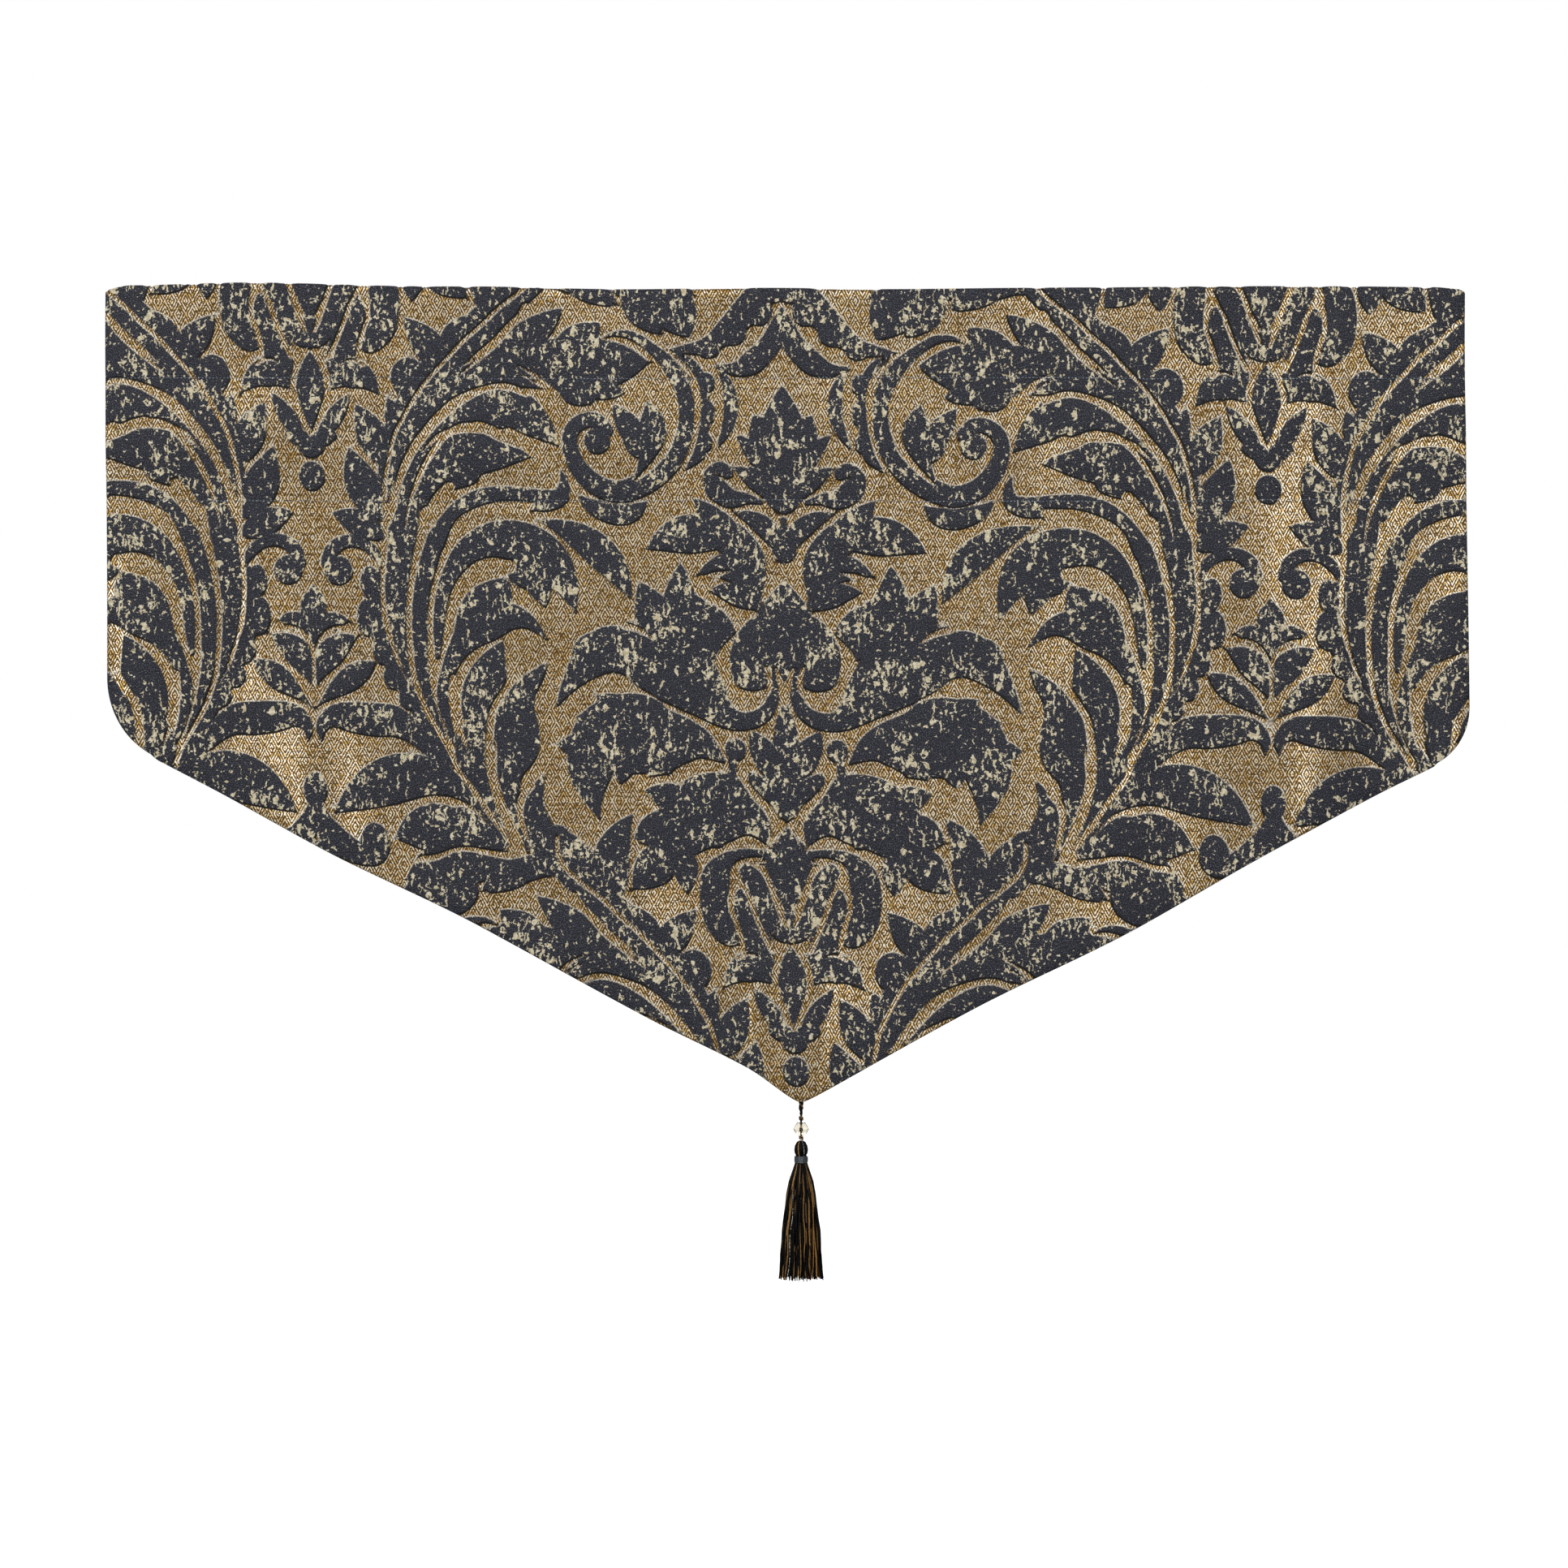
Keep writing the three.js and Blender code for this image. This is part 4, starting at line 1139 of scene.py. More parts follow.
@dataclass(frozen=True)
class LaidFigure:
    """The figure's outlines, and the gaps cut out of it, as they lie on a stretch of flat cloth."""

    shapes: list[Array]
    gaps: list[Array]

    def holds(self, points: Array) -> Array:
        """Say which flat points lie in the figure and in none of its gaps."""
        in_shape, in_gap = (np.any([inside(points, outline) for outline in outlines], axis=0)
                            for outlines in (self.shapes, self.gaps))
        return in_shape & ~in_gap

    def edges(self, every: int) -> Array:
        """Keep the parts of all outlines that border the figure.

        Args:
            every: Keep every so many corners.

        Returns:
            Start and end of each kept piece, as rows of four numbers.
        """
        starts, ends, owner = [], [], []
        for index, outline in enumerate(self.shapes + self.gaps):
            thin = outline[::every] if len(outline) > 16 else outline
            starts.append(thin)
            ends.append(np.roll(thin, -1, axis=0))
            owner.append(np.full(len(thin), index))
        start, end = np.vstack(starts), np.vstack(ends)
        probes = np.vstack([start, 0.5 * (start + end), end])
        own = np.tile(np.concatenate(owner), 3)
        in_shape, in_gap = np.zeros(len(probes), bool), np.zeros(len(probes), bool)
        for index, outline in enumerate(self.shapes + self.gaps):
            hit = inside(probes, outline) & (own != index)
            if index < len(self.shapes):
                in_shape |= hit
            else:
                in_gap |= hit
        useful = np.where(own < len(self.shapes), ~in_shape & ~in_gap, in_shape & ~in_gap)
        return np.hstack([start, end])[useful.reshape(3, -1).any(axis=0)]


@dataclass(frozen=True)
class DamaskFigure:
    """The woven figure: half a motif, mirrored and repeated with a half drop."""

    shapes: tuple[Shape, ...] = PALMETTE + ARCH + SCROLL + STEM + PLUME + ACANTHUS + SPADE + TULIP + SPRIG
    gaps: tuple[Shape, ...] = GAPS
    half_width: float = 291.0
    half_drop: float = 362.5
    axis: float = 1.5
    tilt: float = 0.83
    right_stretch: float = 1.024
    drift: Rows = ((-800, -5), (-60, -5), (0, -4), (60, -2.8), (165, 0), (250, 1.5), (330, 4), (400, 7.2),
                   (485, 11.8), (560, 15))

    def lay(self, outline: Array) -> Array:
        """Lay woven millimetres on the flat cloth, which was cut a little off the straight grain.

        Args:
            outline: Points right of the axis and down from the top edge.

        Returns:
            Points across and up on the flat cloth.
        """
        table = np.array(self.drift, float)
        x = outline[:, 0] + np.interp(outline[:, 1], table[:, 0], table[:, 1])
        x = np.where(x > 0, x * self.right_stretch, x)
        turn = math.radians(self.tilt)
        across = x * math.cos(turn) - outline[:, 1] * math.sin(turn) + self.axis
        down = x * math.sin(turn) + outline[:, 1] * math.cos(turn)
        return np.stack([across, -down], axis=1)

    def repeat(self, shapes: tuple[Shape, ...], low: Array, high: Array) -> list[Array]:
        """Repeat shapes over a rectangle of the cloth.

        Args:
            shapes: Shapes of the half motif.
            low: Lowest corner of the rectangle.
            high: Highest corner.

        Returns:
            The outlines that reach into it, each once.
        """
        found: dict[tuple[float, ...], Array] = {}
        repeats = list(product((0, 1), (-1, 0, 1), (1.0, -1.0), (-1, 0, 1)))
        for shape in shapes:
            half = shape.outline()
            for glide, drop_step, side, shift in repeats:
                moved = half + (self.half_width * glide, self.half_drop * (glide + 2 * drop_step))
                copy = moved * (side, 1.0) + (2 * self.half_width * shift, 0.0)
                laid = self.lay(copy)
                if np.any(laid.max(axis=0) < low) or np.any(laid.min(axis=0) > high):
                    continue
                marks = np.concatenate([copy.min(axis=0), copy.max(axis=0), copy.mean(axis=0)])
                found.setdefault(tuple(np.round(marks, 0)), laid)
        return list(found.values())

    def laid_on(self, flat: Array) -> LaidFigure:
        """Lay the figure on the stretch of cloth that some flat points span."""
        low, high = flat.min(axis=0), flat.max(axis=0)
        return LaidFigure(self.repeat(self.shapes, low, high), self.repeat(self.gaps, low, high))


@dataclass(frozen=True)
class Fold:
    """One soft hanging fold: where it is, how it leans, and how far it stands out."""

    x: float
    lean: float
    width: float
    out: float
    start: float
    reach: float


@dataclass(frozen=True)
class Crease:
    """One short soft ridge or trough in the cloth."""

    x: float
    height: float
    width: float
    length: float
    out: float
    slant: float = 0.0


@dataclass(frozen=True)
class Drape:
    """How the flat cloth hangs: its cut, its rod pocket and its folds, in millimetres."""

    left: float = -419.5
    right: float = 418.5
    left_drop: float = 273.0
    right_drop: float = 282.0
    point_x: float = 9.5
    point_drop: float = 501.5
    left_corner: float = 55.0
    right_corner: float = 40.0
    point_radius: float = 2.5
    left_taper: float = 2.0
    right_flare: float = 2.5
    thick: float = 1.6
    upper_seam: float = -55.5
    lower_seam: float = -131.0
    tail: float = 6.0
    fold_gap: float = 1.2
    seam_gap: float = 0.4
    pocket_opening: float = 9.0
    front_swell: float = 1.4
    pinch: float = 0.35
    pinch_width: float = 3.5
    heading_wave: float = 1.6
    top_edge: Rows = ((-420, -0.6), (-404, 1.8), (-330, 3.2), (-200, 0.8), (-90, -0.7), (0, 0), (80, -0.7),
                      (190, 0.5), (340, 1.2), (398, 0.4), (419, -1.2))
    hem_bow: Rows = ((-420, 0), (-284, -0.4), (-184, 3.5), (-84, 2.5), (-24, 4.6), (9.5, 0), (116, 1.7),
                     (216, -2.2), (316, 1.5), (421, 0))
    folds: tuple[Fold, ...] = tuple(Fold(*row) for row in (
        (-404, -4, 24, 6.5, 120, 170), (-352, 4, 24, -6, 130, 190), (-300, 12, 26, 5.5, 115, 220),
        (-236, 20, 34, -4.5, 140, 240), (-150, 26, 46, 2.5, 150, 260), (-40, 6, 50, -2.5, 220, 220),
        (12, -2, 34, 5, 330, 170), (95, -14, 50, -2, 200, 240), (190, -20, 44, 2.5, 150, 250),
        (262, -14, 32, -5, 135, 230), (318, -6, 26, 6, 115, 210), (364, 0, 20, -5.5, 130, 180),
        (402, 4, 20, 6.5, 120, 170),
    ))
    creases: tuple[Crease, ...] = tuple(Crease(*row) for row in (
        (-372, -93, 16, 26, 1.4, 0.1), (-318, -82, 13, 24, 2.0, -0.5), (-254, -98, 15, 24, -1.1),
        (-212, -108, 14, 26, 2.2, 0.4), (-140, -92, 16, 26, -1.2), (-88, -100, 18, 28, 1.3),
        (-30, -88, 17, 24, -0.9), (34, -98, 18, 28, 1.3, -0.1), (98, -92, 16, 24, -1.1),
        (152, -102, 16, 26, 1.3, 0.15), (214, -90, 16, 24, -1.2), (276, -96, 16, 34, 2.2, 0.1),
        (330, -88, 13, 30, -1.5), (362, -96, 11, 34, 1.8), (-16, -450, 9, 46, 1.6, 0.05),
        (24, -446, 10, 48, 1.9, -0.06), (5, -462, 6, 30, -0.8), (-404, -222, 7, 60, 1.5),
        (362, -178, 9, 100, 1.7), (292, -160, 15, 110, 2.0, 0.05), (-330, -190, 10, 80, 1.2, -0.05),
        (-200, -240, 14, 90, 1.4, -0.08), (150, -250, 14, 90, 1.2, 0.08), (-262, -300, 12, 70, -1.2, -0.1),
        (232, -310, 12, 80, -1.2, 0.1), (60, -330, 16, 90, 1.2, 0.06), (-90, -360, 15, 80, 1.3, -0.07),
    ))

    @property
    def turn_radius(self) -> float:
        """Radius of the cloth's middle over the top edge."""
        return 0.5 * (self.thick + self.fold_gap)

    def top(self, x: Array) -> Array:
        """Height of the top edge."""
        return read_rows(self.top_edge, x)

    def hem(self, x: Array) -> Array:
        """Height of the hem, with round corners and a soft point.

        Args:
            x: Places across the cloth.

        Returns:
            The heights.
        """
        on_left = x < self.point_x
        edge = np.where(on_left, self.left, self.right)
        corner = np.where(on_left, -self.left_drop, -self.right_drop)
        radius = np.where(on_left, self.left_corner, self.right_corner)
        inward = np.abs(x - edge)
        slope = (-self.point_drop - corner) / np.abs(self.point_x - edge)
        steep = np.hypot(1.0, slope)
        centre = corner + radius * (slope + steep)
        arc = centre - np.sqrt(np.maximum(radius ** 2 - (radius - inward) ** 2, 0.0))
        reach = np.hypot(np.abs(x - self.point_x), self.point_radius) - self.point_radius
        straight = -self.point_drop - slope * reach + read_rows(self.hem_bow, x)
        return np.where(inward < radius * (1 + slope / steep), arc, straight)

    def depth(self, x: Array, z: Array) -> Array:
        """How far the folds carry the cloth from its plane.

        Args:
            x: Places across.
            z: Heights.

        Returns:
            Depths, negative towards the front.
        """
        total = self.heading_wave * ease(z, -36.0, 0.0) * np.sin(2 * math.pi * x / 150.0)
        for fold in self.folds:
            grown = ease(-z, fold.start, fold.start + fold.reach)
            total = total - fold.out * grown * np.exp(-((x - fold.x - fold.lean * grown) / fold.width) ** 2)
        for crease in self.creases:
            along = (z - crease.height) / crease.length
            across = (x - crease.x - crease.slant * (z - crease.height)) / crease.width
            total = total - crease.out * np.exp(-along ** 2 - across ** 2)
        return total

    def swell(self, z: Array) -> Array:
        """Share of the rod pocket's opening at a height."""
        share = np.clip((z - self.lower_seam) / (self.upper_seam - self.lower_seam), 0.0, 1.0)
        return np.sin(math.pi * share)

    def front(self, x: Array, z: Array) -> Array:
        """Depth of the front layer's middle.

        Args:
            x: Places across.
            z: Heights.

        Returns:
            The depths.
        """
        seams = sum(np.exp(-((z - seam) / self.pinch_width) ** 2)
                    for seam in (self.upper_seam, self.lower_seam))
        swollen = self.front_swell * self.swell(z) ** 2
        return -self.turn_radius + self.depth(x, z) - swollen + self.pinch * seams

    def gap(self, x: Array, z: Array) -> Array:
        """Clear space between the front layer and the turned-back one."""
        plain = self.seam_gap + (self.fold_gap - self.seam_gap) * ease(z, self.upper_seam, self.top(x))
        return plain + (self.pocket_opening - self.seam_gap) * self.swell(z)

    def turn_start(self, x: Array) -> Array:
        """Height where the cloth starts over the top edge."""
        return self.top(x) - self.turn_radius - 0.5 * self.thick

    def back_place(self, x: Array, z: Array) -> Array:
        """Flat place of a height on the turned-back layer."""
        return 2 * self.turn_start(x) + math.pi * self.turn_radius - z

    def middle(self, flat: Array) -> Array:
        """Hang points of the cloth's middle.

        Args:
            flat: Places across and up on the flat cloth.

        Returns:
            Their places in the row frame, in millimetres.
        """
        x, up = flat[:, 0], flat[:, 1]
        start, radius = self.turn_start(x), self.turn_radius
        over = np.clip((up - start) / radius, 0.0, math.pi)
        z = np.where(up <= start, up, start + radius * np.sin(over))
        z = np.where(up >= start + math.pi * radius, 2 * start + math.pi * radius - up, z)
        y = np.where(up <= start, self.front(x, z), self.front(x, start) + radius * (1 - np.cos(over)))
        y = np.where(up >= start + math.pi * radius, self.front(x, z) + self.thick + self.gap(x, z), y)
        flare = np.where(x < 0, x / self.left * self.left_taper, x / self.right * self.right_flare)
        lean = ease(-z, 0.0, self.left_drop) * flare
        return np.stack([x + lean, y, z], axis=1)

    def hang(self, flat: Array) -> tuple[Array, Array]:
        """Hang points of the cloth with the way that its face looks.

        Args:
            flat: Places across and up on the flat cloth.

        Returns:
            Places of the cloth's middle, and unit normals on the face side.
        """
        step = 0.35
        across = self.middle(flat + (step, 0.0)) - self.middle(flat - (step, 0.0))
        along = self.middle(flat + (0.0, step)) - self.middle(flat - (0.0, step))
        normal = np.cross(across, along)
        return self.middle(flat), normal / np.linalg.norm(normal, axis=1)[:, None]

    def rim(self, pitch: float) -> Array:
        """Outline of the flat cloth, hem first.

        Args:
            pitch: Distance between corners.

        Returns:
            The corners, counter-clockwise.
        """
        curl = 1.0 - np.cos(np.linspace(0.0, 0.5 * math.pi, 60))
        x = np.concatenate([self.left + self.left_corner * curl,
                            np.arange(self.left + self.left_corner, self.right - self.right_corner, 0.5)[1:],
                            (self.right - self.right_corner * curl)[::-1]])
        hem = walk(np.stack([x, self.hem(x)], axis=1), pitch)
        across = np.linspace(self.right, self.left, 400)
        end = np.full(len(across), self.lower_seam - self.tail)
        head = walk(np.stack([across, self.back_place(across, end)], axis=1), pitch)
        right = walk(np.stack([hem[-1], head[0]]), pitch)
        left = walk(np.stack([head[-1], hem[0]]), pitch)
        return np.vstack([hem[:-1], right[:-1], head[:-1], left[:-1]])


@dataclass
class Cut:
    """A triangulated side of the flat cloth."""

    points: Array
    corners: Array
    figure: Array


@dataclass(frozen=True)
class Rim:
    """Outline of the flat cloth, with a tree to measure from it."""

    line: Array
    tree: KDTree

    @classmethod
    def of(cls, line: Array) -> Rim:
        """Make a rim that is measured from its corners and halfway between them."""
        return cls(line, tree_of(np.vstack([line, 0.5 * (line + np.roll(line, -1, axis=0))])))

    def clear(self, points: Array, gap: float) -> Array:
        """Say which points lie inside the rim and farther than a gap from it."""
        return inside(points, self.line) & (nearest(self.tree, points)[1] > gap)

    def area(self) -> float:
        """Area inside the rim, in square millimetres."""
        after = np.roll(self.line, -1, axis=0)
        return 0.5 * abs(float(np.sum(self.line[:, 0] * after[:, 1] - self.line[:, 1] * after[:, 0])))


@dataclass(frozen=True)
class SideCut:
    """How finely one side of the cloth is cut: pitch of its grid and rows, and corners kept."""

    grid: float
    rows: float
    every: int
    raised: bool


@dataclass(frozen=True)
class ValancePanel:
    """The damask panel as one closed sheet, with its figure raised and its hem turned."""

    drape: Drape = Drape()
    figure: DamaskFigure = DamaskFigure()
    finish: DamaskFinish = DamaskFinish()
    face_cut: SideCut = SideCut(6.2, 4.0, 1, True)
    back_cut: SideCut = SideCut(7.5, 5.0, 2, False)
    rim_pitch: float = 3.0
    first_inset: float = 0.3
    edge_round: float = 0.95
    seam_rows: tuple[float, ...] = (-5.0, -2.4, 0.0, 2.4, 5.0)
    mark_inset: float = 1.6
    shoulder: float = 0.9
    shoulder_gap: float = 0.68
    shoulder_inset: float = 1.7
    row_gap: float = 0.8
    row_inset: float = 1.5
    heart_gap: float = 0.6
    grid_gap: float = 2.6
    puff: float = 0.55
    puff_reach: float = 1.5
    groove: float = 0.06
    groove_reach: float = 1.3
    hem_width: float = 13.0
    hem_step: float = 0.6
    hem_rise: float = 0.9
    reach_limit: float = 8.0
    # Light direction for the painted edge shadow and highlight: sideways lean, downward share, and the width
    # over which the lean turns from the left half to the right.
    shadow_side_lean: float = 0.42
    shadow_down_lean: float = 0.91
    shadow_lean_spread: float = 150.0

    def _rows(self, pitch: float) -> Array:
        """Set points where the cloth bends sharply: over the top edge and along the seams.

        Args:
            pitch: Distance along the rows.

        Returns:
            The flat points.
        """
        drape = self.drape
        x = np.arange(drape.left + 2.4, drape.right - 2.0, pitch)
        turn = math.pi * drape.turn_radius
        rows = [drape.turn_start(x) + turn * share for share in np.linspace(0.0, 1.0, 7)]
        for seam in (drape.upper_seam, drape.lower_seam):
            for side in self.seam_rows:
                rows.append(np.full(len(x), seam + side))
                rows.append(drape.back_place(x, np.full(len(x), seam + max(side, -3.5))))
        return np.vstack([np.stack([x, row], axis=1) for row in rows])

    def _insets(self, rim: Rim, raised: bool) -> list[Array]:
        """Set rings of points along the rim, and on the reverse along the hem's step.

        Args:
            rim: Outline of the cloth.
            raised: True for the face.

        Returns:
            The flat points of each ring.
        """
        inward = headings(np.roll(rim.line, -1, axis=0) - np.roll(rim.line, 1, axis=0))[1]
        insets = [self.first_inset, self.edge_round]
        if not raised:
            insets += [self.hem_width - self.hem_step, self.hem_width + self.hem_step]
        rings = []
        for inset in insets:
            ring = rim.line + inward * inset
            rings.append(ring[rim.clear(ring, 0.8 * inset)])
        return rings

    def _shoulders(self, start: Array, end: Array, woven: LaidFigure) -> Array:
        """Set points a little to each side of the figure's edges.

        Args:
            start: Start of each edge.
            end: End of each edge.
            woven: The figure on the cloth.

        Returns:
            The flat points, outer ones first.
        """
        aside = headings(end - start)[1] * self.shoulder
        outer, inner = 0.5 * (start + end) - aside, 0.5 * (start + end) + aside
        border = woven.holds(outer) != woven.holds(inner)
        return np.vstack([outer[border], inner[border]])

    @staticmethod
    def _grid(rim: Rim, pitch: float) -> Array:
        """Fill the cloth with points in offset rows.

        Args:
            rim: Outline of the cloth.
            pitch: Distance between points.

        Returns:
            The flat points.
        """
        low, high = rim.line.min(axis=0), rim.line.max(axis=0)
        height = pitch * 0.866
        columns, lines = np.meshgrid(np.arange(low[0], high[0], pitch), np.arange(low[1], high[1], height))
        odd = (np.arange(columns.shape[0]) % 2)[:, None] * 0.5 * pitch
        grid = np.stack([(columns + odd).ravel(), lines.ravel()], axis=1)
        return grid[inside(grid, rim.line)]

    @staticmethod
    def _join(points: Array, links: list[tuple[int, int]]) -> tuple[Array, Array]:
        """Join points into triangles that keep some edges, and give points and corner numbers."""
        made = delaunay_2d_cdt([Vector(point) for point in points.tolist()], links, [], 0, 0.02, False)
        return np.array([tuple(point) for point in made[0]]), np.array(made[2], int)

    def _hearts(self, flat: Array, corners: Array, mark_tree: KDTree) -> Array:
        """Find the middles of triangles that only touch the figure's edges.

        Args:
            flat: Points of the triangles.
            corners: Their corner numbers.
            mark_tree: Tree of the figure's edges.

        Returns:
            The flat middles that stand clear of the edges.
        """
        held = nearest(mark_tree, flat)[1] < 0.1
        tips = flat[corners[held[corners].all(axis=1)]]
        sides = np.linalg.norm(np.roll(tips, -1, axis=1) - np.roll(tips, 1, axis=1), axis=2)
        hearts = (tips * sides[:, :, None]).sum(axis=1) / sides.sum(axis=1)[:, None]
        return hearts[nearest(mark_tree, hearts)[1] > self.heart_gap]

    @staticmethod
    def _trim(flat: Array, corners: Array, rim: Rim) -> tuple[Array, Array]:
        """Drop triangles outside the rim or with no area, and wind the rest one way.

        Args:
            flat: Points of the triangles.
            corners: Their corner numbers.
            rim: Outline of the cloth.

        Returns:
            The kept corner numbers, and the middle of each kept triangle.
        """
        centre = flat[corners].mean(axis=1)
        keep = inside(centre, rim.line)
        corners, centre = corners[keep], centre[keep]
        first = flat[corners[:, 1]] - flat[corners[:, 0]]
        second = flat[corners[:, 2]] - flat[corners[:, 0]]
        twist = first[:, 0] * second[:, 1] - first[:, 1] * second[:, 0]
        corners[twist < 0] = corners[twist < 0][:, ::-1]
        solid = np.abs(twist) > 1e-5
        return corners[solid], centre[solid]

    def _cut(self, rim: Rim, woven: LaidFigure, side: SideCut) -> Cut:
        """Triangulate one side of the cloth along the figure's edges.

        Args:
            rim: Outline of the cloth.
            woven: The figure on it.
            side: How finely the side is cut.

        Returns:
            The cut side.
        """
        edges = woven.edges(side.every)
        edges = edges[rim.clear(edges[:, :2], self.mark_inset) & rim.clear(edges[:, 2:], self.mark_inset)]
        start, end = edges[:, :2], edges[:, 2:]
        marks = np.vstack([start, 0.5 * (start + end), end])
        mark_tree = tree_of(marks)
        placed = [rim.line] + self._insets(rim, side.raised)
        if side.raised:
            rings = self._shoulders(start, end, woven)
            loose = nearest(mark_tree, rings)[1] > self.shoulder_gap
            placed.append(rings[loose & rim.clear(rings, self.shoulder_inset)])
        rows = self._rows(side.rows)
        loose = nearest(mark_tree, rows)[1] > self.row_gap
        placed.append(rows[loose & rim.clear(rows, self.row_inset)])
        grid = self._grid(rim, side.grid)
        taken = tree_of(np.vstack(placed + [marks]))
        placed.append(grid[nearest(taken, grid)[1] > self.grid_gap])
        points = np.vstack(placed + [start, end])
        around, first, second = len(rim.line), len(points) - 2 * len(start), len(points) - len(start)
        links = [(index, (index + 1) % around) for index in range(around)]
        links += [(first + index, second + index) for index in range(len(start))]
        flat, corners = self._join(points, links)
        if side.raised:
            hearts = self._hearts(flat, corners, mark_tree)
            flat, corners = self._join(np.vstack([points, hearts[inside(hearts, rim.line)]]), links)
        corners, centre = self._trim(flat, corners, rim)
        return Cut(flat, corners, woven.holds(centre))

    def _edge_marks(self, cut: Cut) -> tuple[Array, Array]:
        """Measure each point from the figure's edge.

        Args:
            cut: The face side.

        Returns:
            Distance in millimetres, positive in the figure, and how far the nearest edge faces away from the
            light, which places the painted edge shadow and highlight.
        """
        count = len(cut.points)
        loops = np.stack([cut.corners, np.roll(cut.corners, -1, axis=1)], axis=2)
        dark, pale = loops[cut.figure].reshape(-1, 2), loops[~cut.figure].reshape(-1, 2)
        border = dark[np.isin(dark[:, 0] * count + dark[:, 1], pale[:, 1] * count + pale[:, 0])]
        start, end = cut.points[border[:, 0]], cut.points[border[:, 1]]
        span = end - start
        look = -headings(span)[1]
        shares = (0.02, 0.35, 0.65, 0.98)
        which, far = nearest(tree_of(np.vstack([start + span * share for share in shares])), cut.points)
        # The light is taken from the upper left on the left half and from the upper right on the right half.
        across = 0.5 * (start + end)[:, 0]
        aside = self.shadow_side_lean * np.clip(-across / self.shadow_lean_spread, -1.0, 1.0)
        shadow_facing = np.tile(look[:, 0] * aside - self.shadow_down_lean * look[:, 1], len(shares))[which]
        held = np.zeros(count, bool)
        held[cut.corners[cut.figure].ravel()] = True
        far[border.ravel()] = 0.0
        return np.where(held, far, -far), shadow_facing

    def lifted(self, flat: Array) -> Array:
        """How far the raised figure stands over the ground at flat places."""
        return (self.puff - self.groove) * self.figure.laid_on(flat).holds(flat)

    @staticmethod
    def _rounded(edge: Array, radius: float) -> Array:
        """Share of the thickness that is left where the rim is rounded off."""
        share = np.clip(edge / radius, 0.0, 1.0)
        return np.sqrt(1.0 - (1.0 - share) ** 2)

    def _rise(self, far: Array, edge: Array) -> Array:
        """How far the face stands from the cloth's middle.

        Args:
            far: Distance from the figure's edge, positive in the figure.
            edge: Distance from the rim.

        Returns:
            The heights.
        """
        reach = np.abs(far)
        puffed = self.puff * (1 - np.exp(-reach / self.puff_reach)) - self.groove
        sunk = -self.groove * np.exp(-reach / self.groove_reach)
        raised = np.where(far > 0, puffed, sunk) * ease(edge, 0.0, 3.0)
        return 0.5 * self.drape.thick * self._rounded(edge, self.edge_round) + raised

    def _hem_band(self, flat: Array, edge: Array) -> Array:
        """Share of the turned hem's thickness on the reverse."""
        below = ease(-flat[:, 1], -self.drape.lower_seam + 8.0, -self.drape.lower_seam + 18.0)
        return below * (1.0 - ease(edge, self.hem_width - 0.5, self.hem_width + 0.5))

    def _close(self, rim: Rim, face: Cut, back: Cut, out: Array, under: Array) -> tuple[Array, Array]:
        """Hang both sides and close them along the rim.

        Args:
            rim: Outline of the cloth.
            face: The face side.
            back: The reverse side.
            out: How far the face stands from the cloth's middle.
            under: How far the reverse does.

        Returns:
            Points of both sides, and the corner numbers of all triangles.
        """
        face_middle, face_normal = self.drape.hang(face.points)
        back_middle, back_normal = self.drape.hang(back.points)
        upper = face_middle + face_normal * out[:, None]
        lower = back_middle - back_normal * under[:, None]
        face_rim = nearest(tree_of(face.points), rim.line)[0]
        back_rim = nearest(tree_of(back.points), rim.line)[0]
        upper[face_rim] = face_middle[face_rim]
        shared = np.arange(len(back.points)) + len(face.points)
        shared[back_rim] = face_rim
        return np.vstack([upper, lower]), np.vstack([face.corners, shared[back.corners][:, ::-1]])

    def _dress(self, mesh: bpy.types.Mesh, woven: Array, reverse: Array) -> None:
        """Keep the figure's edges crisp and give each side its finish.

        Args:
            mesh: The closed panel.
            woven: True for each triangle of the figure.
            reverse: True for each triangle that shows the reverse.
        """
        store(mesh, "figure", woven.astype(float), domain="FACE")
        loops = np.zeros(len(mesh.loops), np.int32)
        mesh.loops.foreach_get("edge_index", loops)
        dark_sides = np.bincount(loops, np.repeat(woven, 3), len(mesh.edges))
        store(mesh, "sharp_edge", dark_sides == 1, "BOOLEAN", "EDGE")
        mesh.materials.append(self.finish.face())
        mesh.materials.append(self.finish.reverse())
        sides = np.where(reverse, ClothSide.REVERSE.value, ClothSide.FACE.value)
        mesh.polygons.foreach_set("material_index", sides.astype(np.int32))
        mesh.polygons.foreach_set("use_smooth", np.ones(len(sides), bool))

